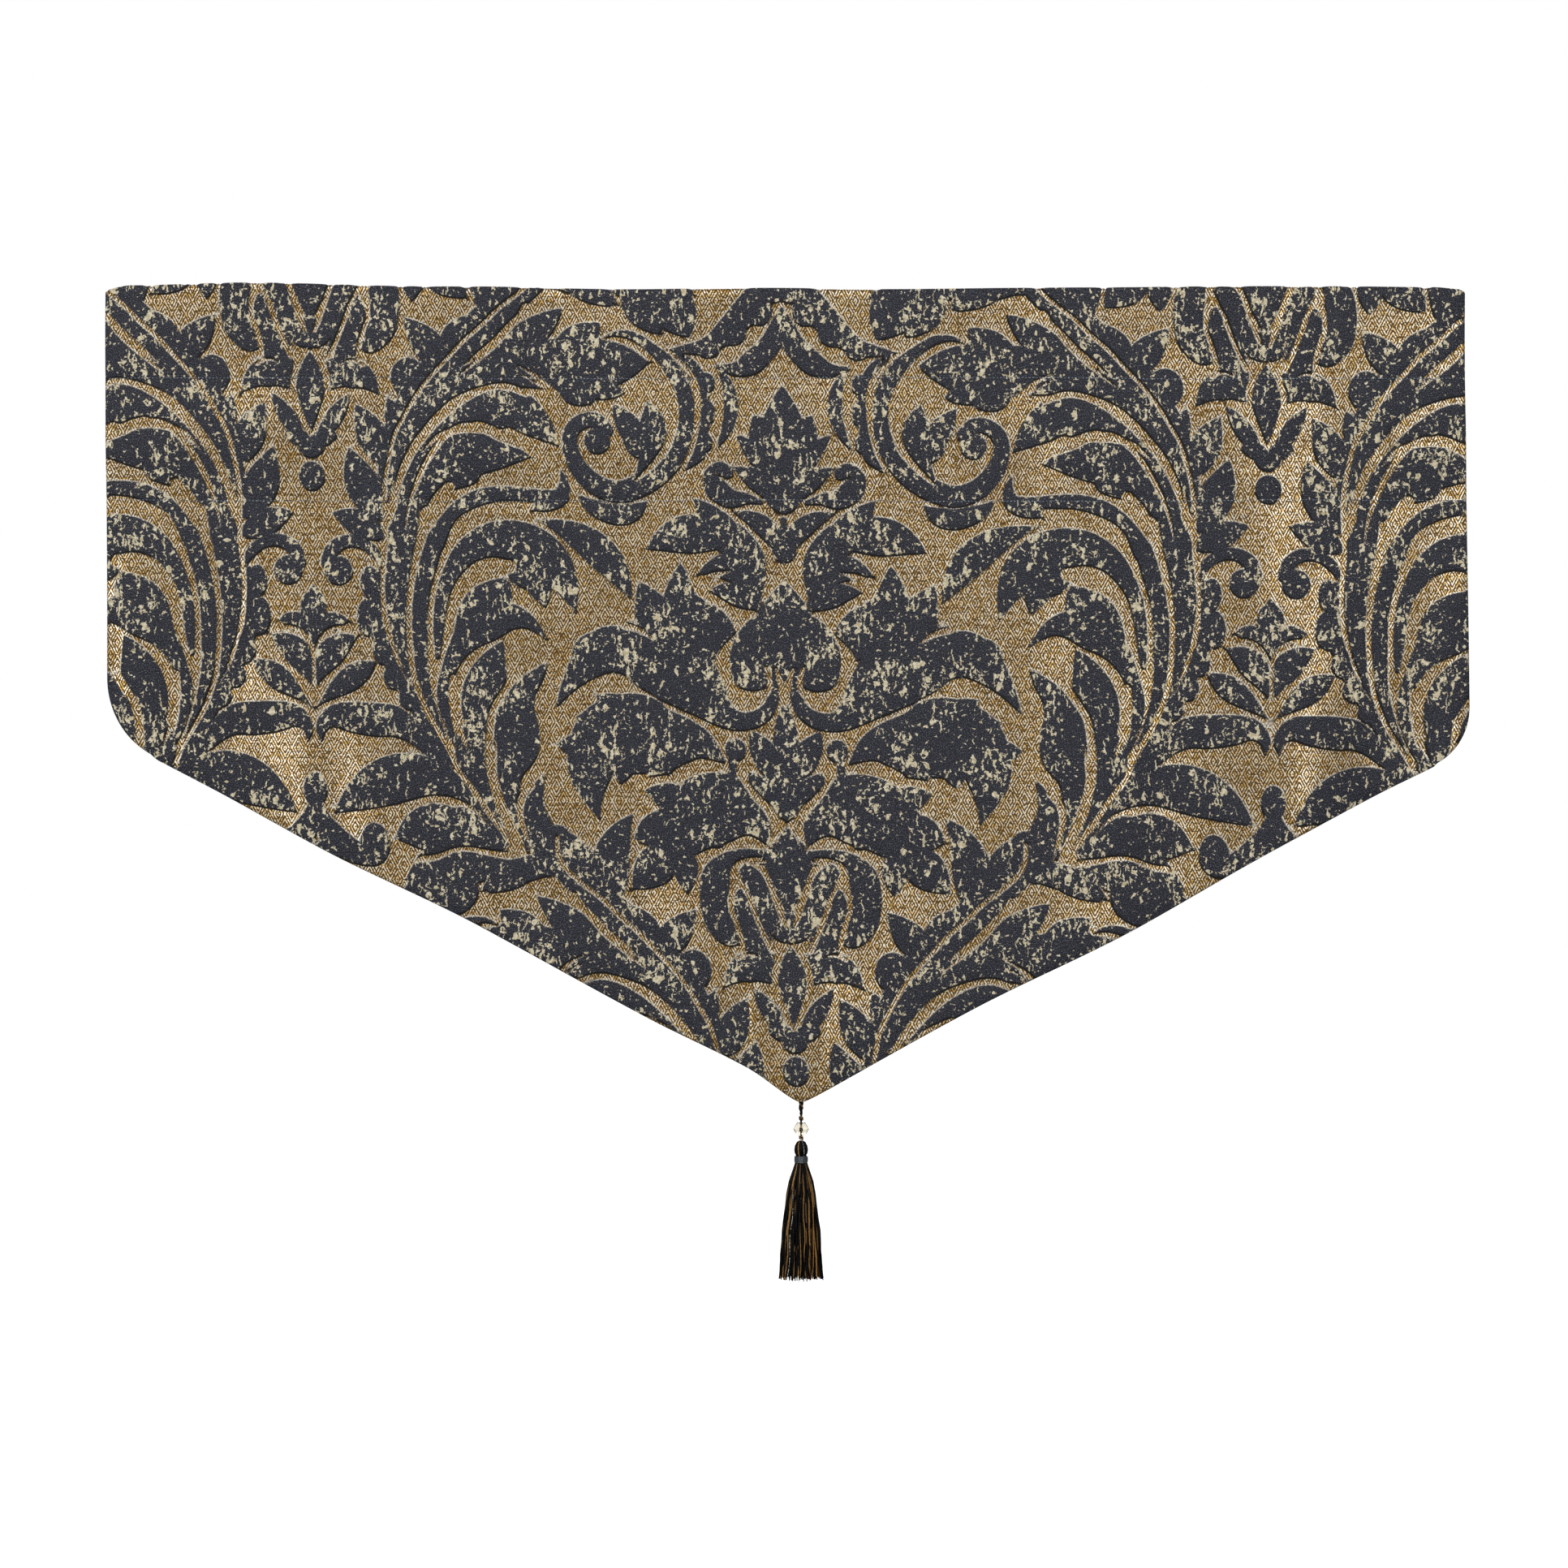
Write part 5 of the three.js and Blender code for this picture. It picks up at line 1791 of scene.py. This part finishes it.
    def build(self) -> Piece:
        """Cut, raise, hang and dress the cloth.

        Returns:
            The panel, tied to the frame.
        """
        rim = Rim.of(self.drape.rim(self.rim_pitch))
        woven = self.figure.laid_on(rim.line)
        face = self._cut(rim, woven, self.face_cut)
        back = self._cut(rim, woven, self.back_cut)
        LOG.info("face %d, reverse %d triangles", len(face.corners), len(back.corners))
        edge_tree = tree_of(walk(np.vstack([rim.line, rim.line[:1]]), 0.6))
        face_edge, back_edge = nearest(edge_tree, face.points)[1], nearest(edge_tree, back.points)[1]
        far, shadow_facing = self._edge_marks(face)
        band = self._hem_band(back.points, back_edge)
        under = 0.5 * self.drape.thick + self.hem_rise * band
        under = under * self._rounded(back_edge, self.edge_round + 0.1)
        points, corners = self._close(rim, face, back, self._rise(far, face_edge), under)
        used = np.unique(corners)
        order = np.full(len(points), -1)
        order[used] = np.arange(len(used))
        mesh = new_mesh("damask_panel", points[used], order[corners])
        cloth = np.vstack([face.points, back.points])[used]
        limit = np.full(len(back.points), self.reach_limit)
        reach = np.concatenate([np.minimum(np.abs(far), self.reach_limit), limit])[used]
        # How far each face point's edge faces away from the light, for the painted edge shadow and highlight;
        # none on the reverse.
        down = np.concatenate([shadow_facing, np.zeros(len(back.points))])[used]
        store(mesh, "cloth", np.hstack([cloth, np.zeros((len(cloth), 1))]), "FLOAT_VECTOR")
        store(mesh, "reach", reach)
        store(mesh, "shadow_facing", down)
        plain_back = band[back.corners].mean(axis=1) <= 0.35
        reverse = np.concatenate([np.zeros(len(face.corners), bool), plain_back])
        self._dress(mesh, np.concatenate([face.figure, back.figure]), reverse)
        panel = enter(show("damask_panel", mesh), Slot.DAMASK, "valance_panel")
        area = rim.area() * MM ** 2
        return panel


@dataclass(frozen=True)
class SeamStitches:
    """Two rows of machine stitches that close the rod pocket, seen on both layers."""

    panel: ValancePanel
    pitch: float = 2.2
    length: float = 1.4
    thick: float = 0.62
    proud: float = 0.14
    wander: float = 0.5
    finish: YarnFinish = YarnFinish("seam_thread", ((0.0, (96, 110, 126)), (0.9, (170, 182, 194))),
                                    rough=0.35, gloss=0.4, twist=1500.0)

    def build(self, tree: StitchTree) -> Piece:
        """Draw the rows on the hung cloth and set the stitches.

        Args:
            tree: The stitch tree.

        Returns:
            The stitches, tied to the frame.
        """
        drape = self.panel.drape
        x = np.arange(drape.left + 3.0, drape.right - 2.6, 2.0)
        paths = []
        for row, seam in enumerate((drape.upper_seam, drape.lower_seam)):
            sway = self.wander * (np.sin(x / 61.0 + 2.1 * row) + 0.5 * np.sin(x / 23.0 + row))
            for place in (seam + sway, drape.back_place(x, seam + sway)):
                flat = np.stack([x, place], axis=1)
                middle, normal = drape.hang(flat)
                out = 0.5 * drape.thick + self.proud + self.panel.lifted(flat)
                paths.append(middle + normal * out[:, None])
        stouts, shades = [np.ones(len(x))] * len(paths), [0.0] * len(paths)
        sewn = tree.grow("seam_stitches", paths, stouts, shades, Pitch=self.pitch * MM, Seed=5,
                         Length=self.length * MM, Thickness=self.thick * MM, Finish=self.finish.make())
        return enter(sewn, Slot.DAMASK)


@dataclass(frozen=True)
class HangingCord:
    """Two-ply cord from the point of the valance, knotted above and below the bead.

    Its rows give drop and half thickness, and each ply has its shade and its share of the thickness.
    """

    axis: Point
    point_drop: float = 501.5
    rows: Rows = ((-7.5, 1.0), (0.5, 1.6), (3.8, 1.5), (6, 1.05), (8.2, 0.85), (10, 1.5), (11.6, 0.75),
                  (20.8, 0.75), (22.2, 1.4), (23.1, 1.0))
    widest: float = 1.6
    plies: Rows = ((0.0, 0.8), (0.95, 0.26))
    twist: float = 7.0
    knots: tuple[float, ...] = (10.0, 22.0)
    knot_radius: float = 0.98
    knot_rise: float = 0.75
    knot_plies: Rows = ((0.0, 0.52), (0.85, 0.38))
    finish: YarnFinish = YarnFinish("cord_plies",
                                    ((0.0, (8, 7, 8)), (0.5, (60, 48, 30)), (1.0, (176, 142, 88))),
                                    rough=0.4, gloss=0.12, twist=1300.0)

    def build(self, tree: YarnTree) -> Piece:
        """Twist the plies and tie the knots.

        Args:
            tree: The yarn tree.

        Returns:
            The cord, tied to the frame.
        """
        drops = np.linspace(self.rows[0][0], self.rows[-1][0], 150)
        girth = np.minimum(read_rows(self.rows, drops), self.widest)
        paths, stouts, shades = [], [], []
        for ply, (shade, share) in enumerate(self.plies):
            turn = 2 * math.pi * (drops / self.twist + 0.5 * ply)
            paths.append(wind(self.axis, (1.0 - share) * girth, turn, -self.point_drop - drops))
            stouts.append(share * girth)
            shades.append(shade)
        for drop in self.knots:
            for ply, (shade, half) in enumerate(self.knot_plies):
                turn = np.linspace(0.0, 3.2 * math.pi, 40) + math.pi * ply
                lift = np.linspace(-self.knot_rise, self.knot_rise, 40) + 0.5 * np.sin(turn + 0.7)
                paths.append(wind(self.axis, self.knot_radius, turn, -self.point_drop - (drop + lift)))
                stouts.append(np.full(len(turn), half))
                shades.append(shade)
        cord = tree.grow("hanging_cord", paths, stouts, shades, Sides=8, Thickness=1.0,
                         Finish=self.finish.make())
        return enter(cord, Slot.CORD, "tassel_cord")


@dataclass(frozen=True)
class CutBead:
    """Clear glass bead, cut in triangular facets and pierced along its axis."""

    axis: Point
    top: float = -513.9
    height: float = 8.2
    radius: float = 5.0
    shoulder: float = 3.95
    table: float = 2.4
    hole: float = 1.25
    facets: int = 8
    finish: GlassFinish = GlassFinish()

    def build(self) -> Piece:
        """Cut the facets and the hole.

        Returns:
            The bead, tied to the frame.
        """
        rings = ((self.hole, 0.35, 0.0), (self.table, 0.0, 0.0),
                 (self.shoulder, 0.45 * self.height - 1.9, 0.5), (self.radius, 0.5 * self.height, 0.0),
                 (self.shoulder, 0.55 * self.height + 1.9, 0.5), (self.table, self.height, 0.0),
                 (self.hole, self.height - 0.35, 0.0))
        points = []
        for size, drop, turn in rings:
            angle = 2 * math.pi / self.facets * (np.arange(self.facets) + turn)
            points.append(wind(self.axis, size, angle, self.top - drop))
        faces = []
        for ring in range(len(rings)):
            upper, lower = ring, (ring + 1) % len(rings)
            ahead = rings[lower][2] > rings[upper][2]
            for side in range(self.facets):
                after = (side + 1) % self.facets
                a, b = upper * self.facets + side, upper * self.facets + after
                c, d = lower * self.facets + side, lower * self.facets + after
                if rings[lower][2] == rings[upper][2]:
                    faces.append([a, c, d, b])
                elif ahead:
                    faces += [[a, c, b], [b, c, d]]
                else:
                    faces += [[a, c, d], [a, d, b]]
        mesh = new_mesh("cut_bead", np.vstack(points), faces)
        mesh.materials.append(self.finish.make())
        return enter(show("cut_bead", mesh), Slot.GLASS, "glass_bead")


@dataclass(frozen=True)
class Tassel:
    """Yarn tassel: a ridged head over a core, and a full skirt below the neck.

    Its rows give drop and radius, and the golden angle spreads the skirt's yarns evenly.
    """

    axis: Point
    top: float = -524.9
    head_rows: Rows = ((0.4, 1.7), (1.6, 3.1), (3.6, 4.0), (6, 4.3), (8.2, 4.05), (9.3, 3.35), (14.4, 3.35))
    head_strands: int = 26
    head_shades: tuple[float, ...] = (0.2, 0.84, 0.3, 0.1, 0.2, 0.94, 0.1, 0.3)
    neck: float = 14.4
    skirt: float = 71.5
    skirt_rows: Rows = ((-5, 2.9), (0, 3.1), (6, 6.5), (12, 7.9), (20, 9.4), (30, 10.9), (42, 12.2),
                        (55, 13.1), (66, 13.8), (72, 14.6))
    yarns: int = 480
    yarn: float = 0.42
    golden_angle: float = 2.39996
    turn_spread: float = 0.08
    end_spread: float = 3.2
    sway: float = 0.20
    crimp: float = 0.45
    ripple: float = 0.22
    gold_share: Point = (0.17, 0.30)
    gold_shade: Point = (0.68, 0.88)
    silver_from: float = 0.95
    silver_glint_shade: float = 0.97
    # The ramp's near-white top, broken into dots by the yarn finish, paints glints on the silver yarns and on
    # one head strand in eight.
    finish: YarnFinish = YarnFinish("tassel_yarn",
                                    ((0.0, (2, 2, 2)), (0.6, (7, 6, 8)), (0.64, (138, 98, 48)),
                                     (0.88, (202, 152, 88)), (0.91, (160, 160, 164)), (1.0, (250, 250, 250))),
                                    rough=0.18, gloss=0.12, twist=1000.0)

    @staticmethod
    def _ripple(dice: Dice, drops: Array, height: float, periods: Point, grown: Point) -> Array:
        """Draw a ripple of chance pace along a yarn, grown to its height between two drops."""
        phase = drops / dice.uniform(*periods) + dice.uniform(0.0, 6.28)
        return height * np.sin(phase) * ease(drops, *grown)

    def _tint(self, dice: Dice, turn: float) -> tuple[float, float]:
        """Choose a yarn's colour: black, or now and then gold or silver, in uneven bundles; the silver yarns
        carry dotted painted glints.

        Args:
            dice: Seeded chance.
            turn: The yarn's angle.

        Returns:
            Its shade number and its share of the full thickness.
        """
        bundle = 0.5 + 0.5 * math.sin(2.0 * turn + 1.3) * math.sin(5.0 * turn + 0.4)
        roll = float(dice.uniform(0.0, 1.0))
        if roll < self.gold_share[0] + self.gold_share[1] * bundle:
            return float(dice.uniform(*self.gold_shade)), 0.75
        if roll > self.silver_from:
            return self.silver_glint_shade, 0.5
        return 0.5 * roll, 1.0

    def _skirt(self, tree: YarnTree, dice: Dice, material: bpy.types.Material) -> Piece:
        """Hang the skirt's yarns from the neck.

        Args:
            tree: The yarn tree.
            dice: Seeded chance.
            material: The yarn's finish.

        Returns:
            The skirt, tied to the frame.
        """
        paths, stouts, shades = [], [], []
        for index in range(self.yarns):
            share = math.sqrt((index + 0.5) / self.yarns)
            turn = index * self.golden_angle + dice.normal(0.0, self.turn_spread)
            length = self.skirt - dice.uniform(0.0, self.end_spread) - 2.0 * (1.0 - share)
            drops = np.linspace(-4.0, length, 11)
            size = read_rows(self.skirt_rows, drops) * (0.10 + 0.90 * share) - 0.4
            sway = dice.normal(0.0, self.sway) * np.clip(drops / self.skirt, 0.0, 1.0)
            crimp = self._ripple(dice, drops, self.crimp, (4.0, 8.0), (4.0, 20.0))
            angle = turn + sway + crimp / np.maximum(size, 3.0)
            size = size + self._ripple(dice, drops, self.ripple, (3.0, 6.0), (6.0, 25.0))
            taper = np.interp(drops, (-4.0, 4.0, length - 1.0, length), (0.6, 1.0, 1.0, 0.8))
            shade, stout = self._tint(dice, turn)
            paths.append(wind(self.axis, size, angle, self.top - (self.neck + drops)))
            stouts.append(self.yarn * taper * stout)
            shades.append(shade)
        skirt = tree.grow("tassel_skirt", paths, stouts, shades, Sides=5, Thickness=1.0, Finish=material)
        return enter(skirt, Slot.YARN, "tassel")

    def _head(self, tree: YarnTree, dice: Dice, material: bpy.types.Material) -> Piece:
        """Lay strands over the head and a core under them.

        Args:
            tree: The yarn tree.
            dice: Seeded chance.
            material: The yarn's finish.

        Returns:
            The head, tied to the frame.
        """
        drops = np.linspace(self.head_rows[0][0], self.neck + 2.0, 16)
        size = read_rows(self.head_rows, drops)
        paths, stouts, shades = [], [], []
        for index in range(self.head_strands):
            turn = 2 * math.pi * (index + dice.uniform(-0.2, 0.2)) / self.head_strands + 0.02 * drops
            paths.append(wind(self.axis, size - 0.62, turn, self.top - drops))
            stouts.append(np.clip(0.15 * size, 0.2, 0.62) * (0.65 if index % 4 == 1 else 1.0))
            shades.append(self.head_shades[index % len(self.head_shades)])
        core = np.linspace(0.5, self.neck + 3.0, 14)
        paths.append(wind(self.axis, 0.0, 0 * core, self.top - core))
        stouts.append(np.maximum(read_rows(self.head_rows, core) - 0.75, 0.5))
        shades.append(0.1)
        head = tree.grow("tassel_head", paths, stouts, shades, Sides=10, Thickness=1.0, Finish=material)
        return enter(head, Slot.YARN)

    def build(self, tree: YarnTree) -> tuple[Piece, Piece]:
        """Lay the head's strands and the skirt's yarns, and give both pieces."""
        dice, material = np.random.default_rng(11), self.finish.make()
        return self._head(tree, dice, material), self._skirt(tree, dice, material)


@dataclass(frozen=True)
class NeckBinding:
    """Satin thread wound round the tassel's neck."""

    axis: Point
    top: float = -534.4
    height: float = 4.6
    girth: float = 3.85
    turns: int = 8
    thick: float = 0.34
    finish: YarnFinish = YarnFinish("satin_wrap", ((0.0, (64, 69, 76)), (1.0, (128, 136, 143))),
                                    rough=0.15, gloss=0.5, twist=500.0, metal=0.85, relief=0.04)

    def build(self, tree: YarnTree) -> Piece:
        """Wind the thread and tuck its ends in.

        Args:
            tree: The yarn tree.

        Returns:
            The binding, tied to the frame.
        """
        turn = np.linspace(0.0, 2 * math.pi * self.turns, 30 * self.turns)
        share = turn / turn[-1]
        bulge = self.girth + 0.12 * np.sin(math.pi * share)
        bulge = bulge - 0.5 * (1 - ease(share, 0.0, 0.02)) - 0.5 * ease(share, 0.98, 1.0)
        path = wind(self.axis, bulge, turn, self.top - 0.3 - share * (self.height - 0.6))
        wrap = tree.grow("neck_wrap", [path], [np.full(len(path), self.thick)], [0.6], Sides=8,
                         Thickness=1.0, Finish=self.finish.make())
        return enter(wrap, Slot.BINDING, "neck_binding")


@dataclass(frozen=True)
class Lamp:
    """One soft rectangular light, in metres and watts."""

    name: str
    place: tuple[float, float, float]
    wide: float
    tall: float
    power: float


@dataclass(frozen=True)
class Studio:
    """Camera at the photograph's angle, a pale floor and soft lights."""

    eye: tuple[float, float, float] = (-0.001, -2.686, -0.3055)
    lens: float = 100.0
    floor: float = -0.74
    floor_radius: float = 9.0
    world: float = 0.32
    aim: tuple[float, float, float] = (0.0, 0.0, -0.25)
    lamps: tuple[Lamp, ...] = (
        Lamp("soft", (-0.3, -2.4, 1.7), 2.0, 1.4, 28.0),
        Lamp("right strip", (1.0, -2.3, 0.0), 0.3, 1.2, 8.4),
        Lamp("low", (0.45, -2.4, -0.7), 0.5, 0.2, 2.6),
        Lamp("left strip", (-1.5, -2.1, 0.1), 0.3, 1.4, 11.0),
        Lamp("back", (0.0, 2.4, 1.2), 2.0, 2.0, 34.0),
    )

    def camera(self) -> None:
        """Set the camera square to the cloth."""
        data = bpy.data.cameras.new("camera")
        data.lens = self.lens
        data.sensor_width = 36.0
        data.clip_end = 50.0
        camera = bpy.data.objects.new("camera", data)
        camera.location = self.eye
        camera.rotation_euler = (0.5 * math.pi, 0.0, 0.0)
        bpy.context.scene.collection.objects.link(camera)
        bpy.context.scene.camera = camera

    def room(self) -> None:
        """Make a room that lights softly and looks white behind the cloth and through the glass."""
        world = bpy.data.worlds.new("room")
        world.use_nodes = True
        nodes, links = world.node_tree.nodes, world.node_tree.links
        dim, seen = nodes["Background"], nodes.new("ShaderNodeBackground")
        for ground, strength in ((dim, self.world), (seen, 1.0)):
            ground.inputs["Color"].default_value = (1.0, 1.0, 1.0, 1.0)
            ground.inputs["Strength"].default_value = strength
        path, choose = nodes.new("ShaderNodeLightPath"), nodes.new("ShaderNodeMixShader")
        through = nodes.new("ShaderNodeMath")
        through.operation = Work.MOST.value
        links.new(path.outputs["Is Camera Ray"], through.inputs[0])
        links.new(path.outputs["Is Transmission Ray"], through.inputs[1])
        links.new(through.outputs[0], choose.inputs[0])
        links.new(dim.outputs[0], choose.inputs[1])
        links.new(seen.outputs[0], choose.inputs[2])
        links.new(choose.outputs[0], nodes["World Output"].inputs[0])
        bpy.context.scene.world = world
        bpy.context.scene.view_settings.view_transform = "Standard"

    def light(self) -> None:
        """Set the lamps, with strips at the sides that draw the gold's sheen."""
        for lamp in self.lamps:
            data = bpy.data.lights.new(lamp.name, "AREA")
            data.shape = "RECTANGLE"
            data.size = lamp.wide
            data.size_y = lamp.tall
            data.energy = lamp.power
            item = bpy.data.objects.new(lamp.name, data)
            item.location = lamp.place
            look = Vector(self.aim) - Vector(lamp.place)
            item.rotation_euler = look.to_track_quat("-Z", "Y").to_euler()
            bpy.context.scene.collection.objects.link(item)

    def lay_floor(self) -> None:
        """Lay a round pale floor with a faint grain."""
        turn = np.linspace(0.0, 2 * math.pi, 96, endpoint=False)
        points = wind((0.0, 0.0), self.floor_radius, turn, self.floor) / MM
        mesh = new_mesh("pale_floor", points, [list(range(len(turn)))])
        recipe = Recipe("pale_floor")
        recipe.bump(recipe.noise(recipe.place(), 60.0, 3.0), 0.2, 0.2)
        path = recipe.tree.nodes.new("ShaderNodeLightPath").outputs
        seen = recipe.sum(Work.MOST, path["Is Camera Ray"], path["Is Transmission Ray"])
        mesh.materials.append(recipe.finish(Base_Color=(0.3, 0.3, 0.3, 1.0), Roughness=0.9,
                                            Specular_IOR_Level=0.0, Emission_Color=(1.0, 1.0, 1.0, 1.0),
                                            Emission_Strength=seen))
        show("pale_floor", mesh)


def main() -> None:
    """Build the studio, the cloth and the tassel in order."""
    logging.basicConfig(level=logging.INFO, format="%(name)s: %(message)s")
    studio = Studio()
    studio.camera()
    low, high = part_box("tassel")
    axis = (0.5 * (low.x + high.x) / MM, 0.5 * (low.y + high.y) / MM)
    yarns = YarnTree()
    HangingCord(axis).build(yarns)
    CutBead(axis).build()
    Tassel(axis).build(yarns)
    NeckBinding(axis).build(yarns)
    panel = ValancePanel()
    panel.build()
    SeamStitches(panel).build(StitchTree())
    studio.lay_floor()
    studio.room()
    studio.light()


if __name__ == "__main__":
    main()
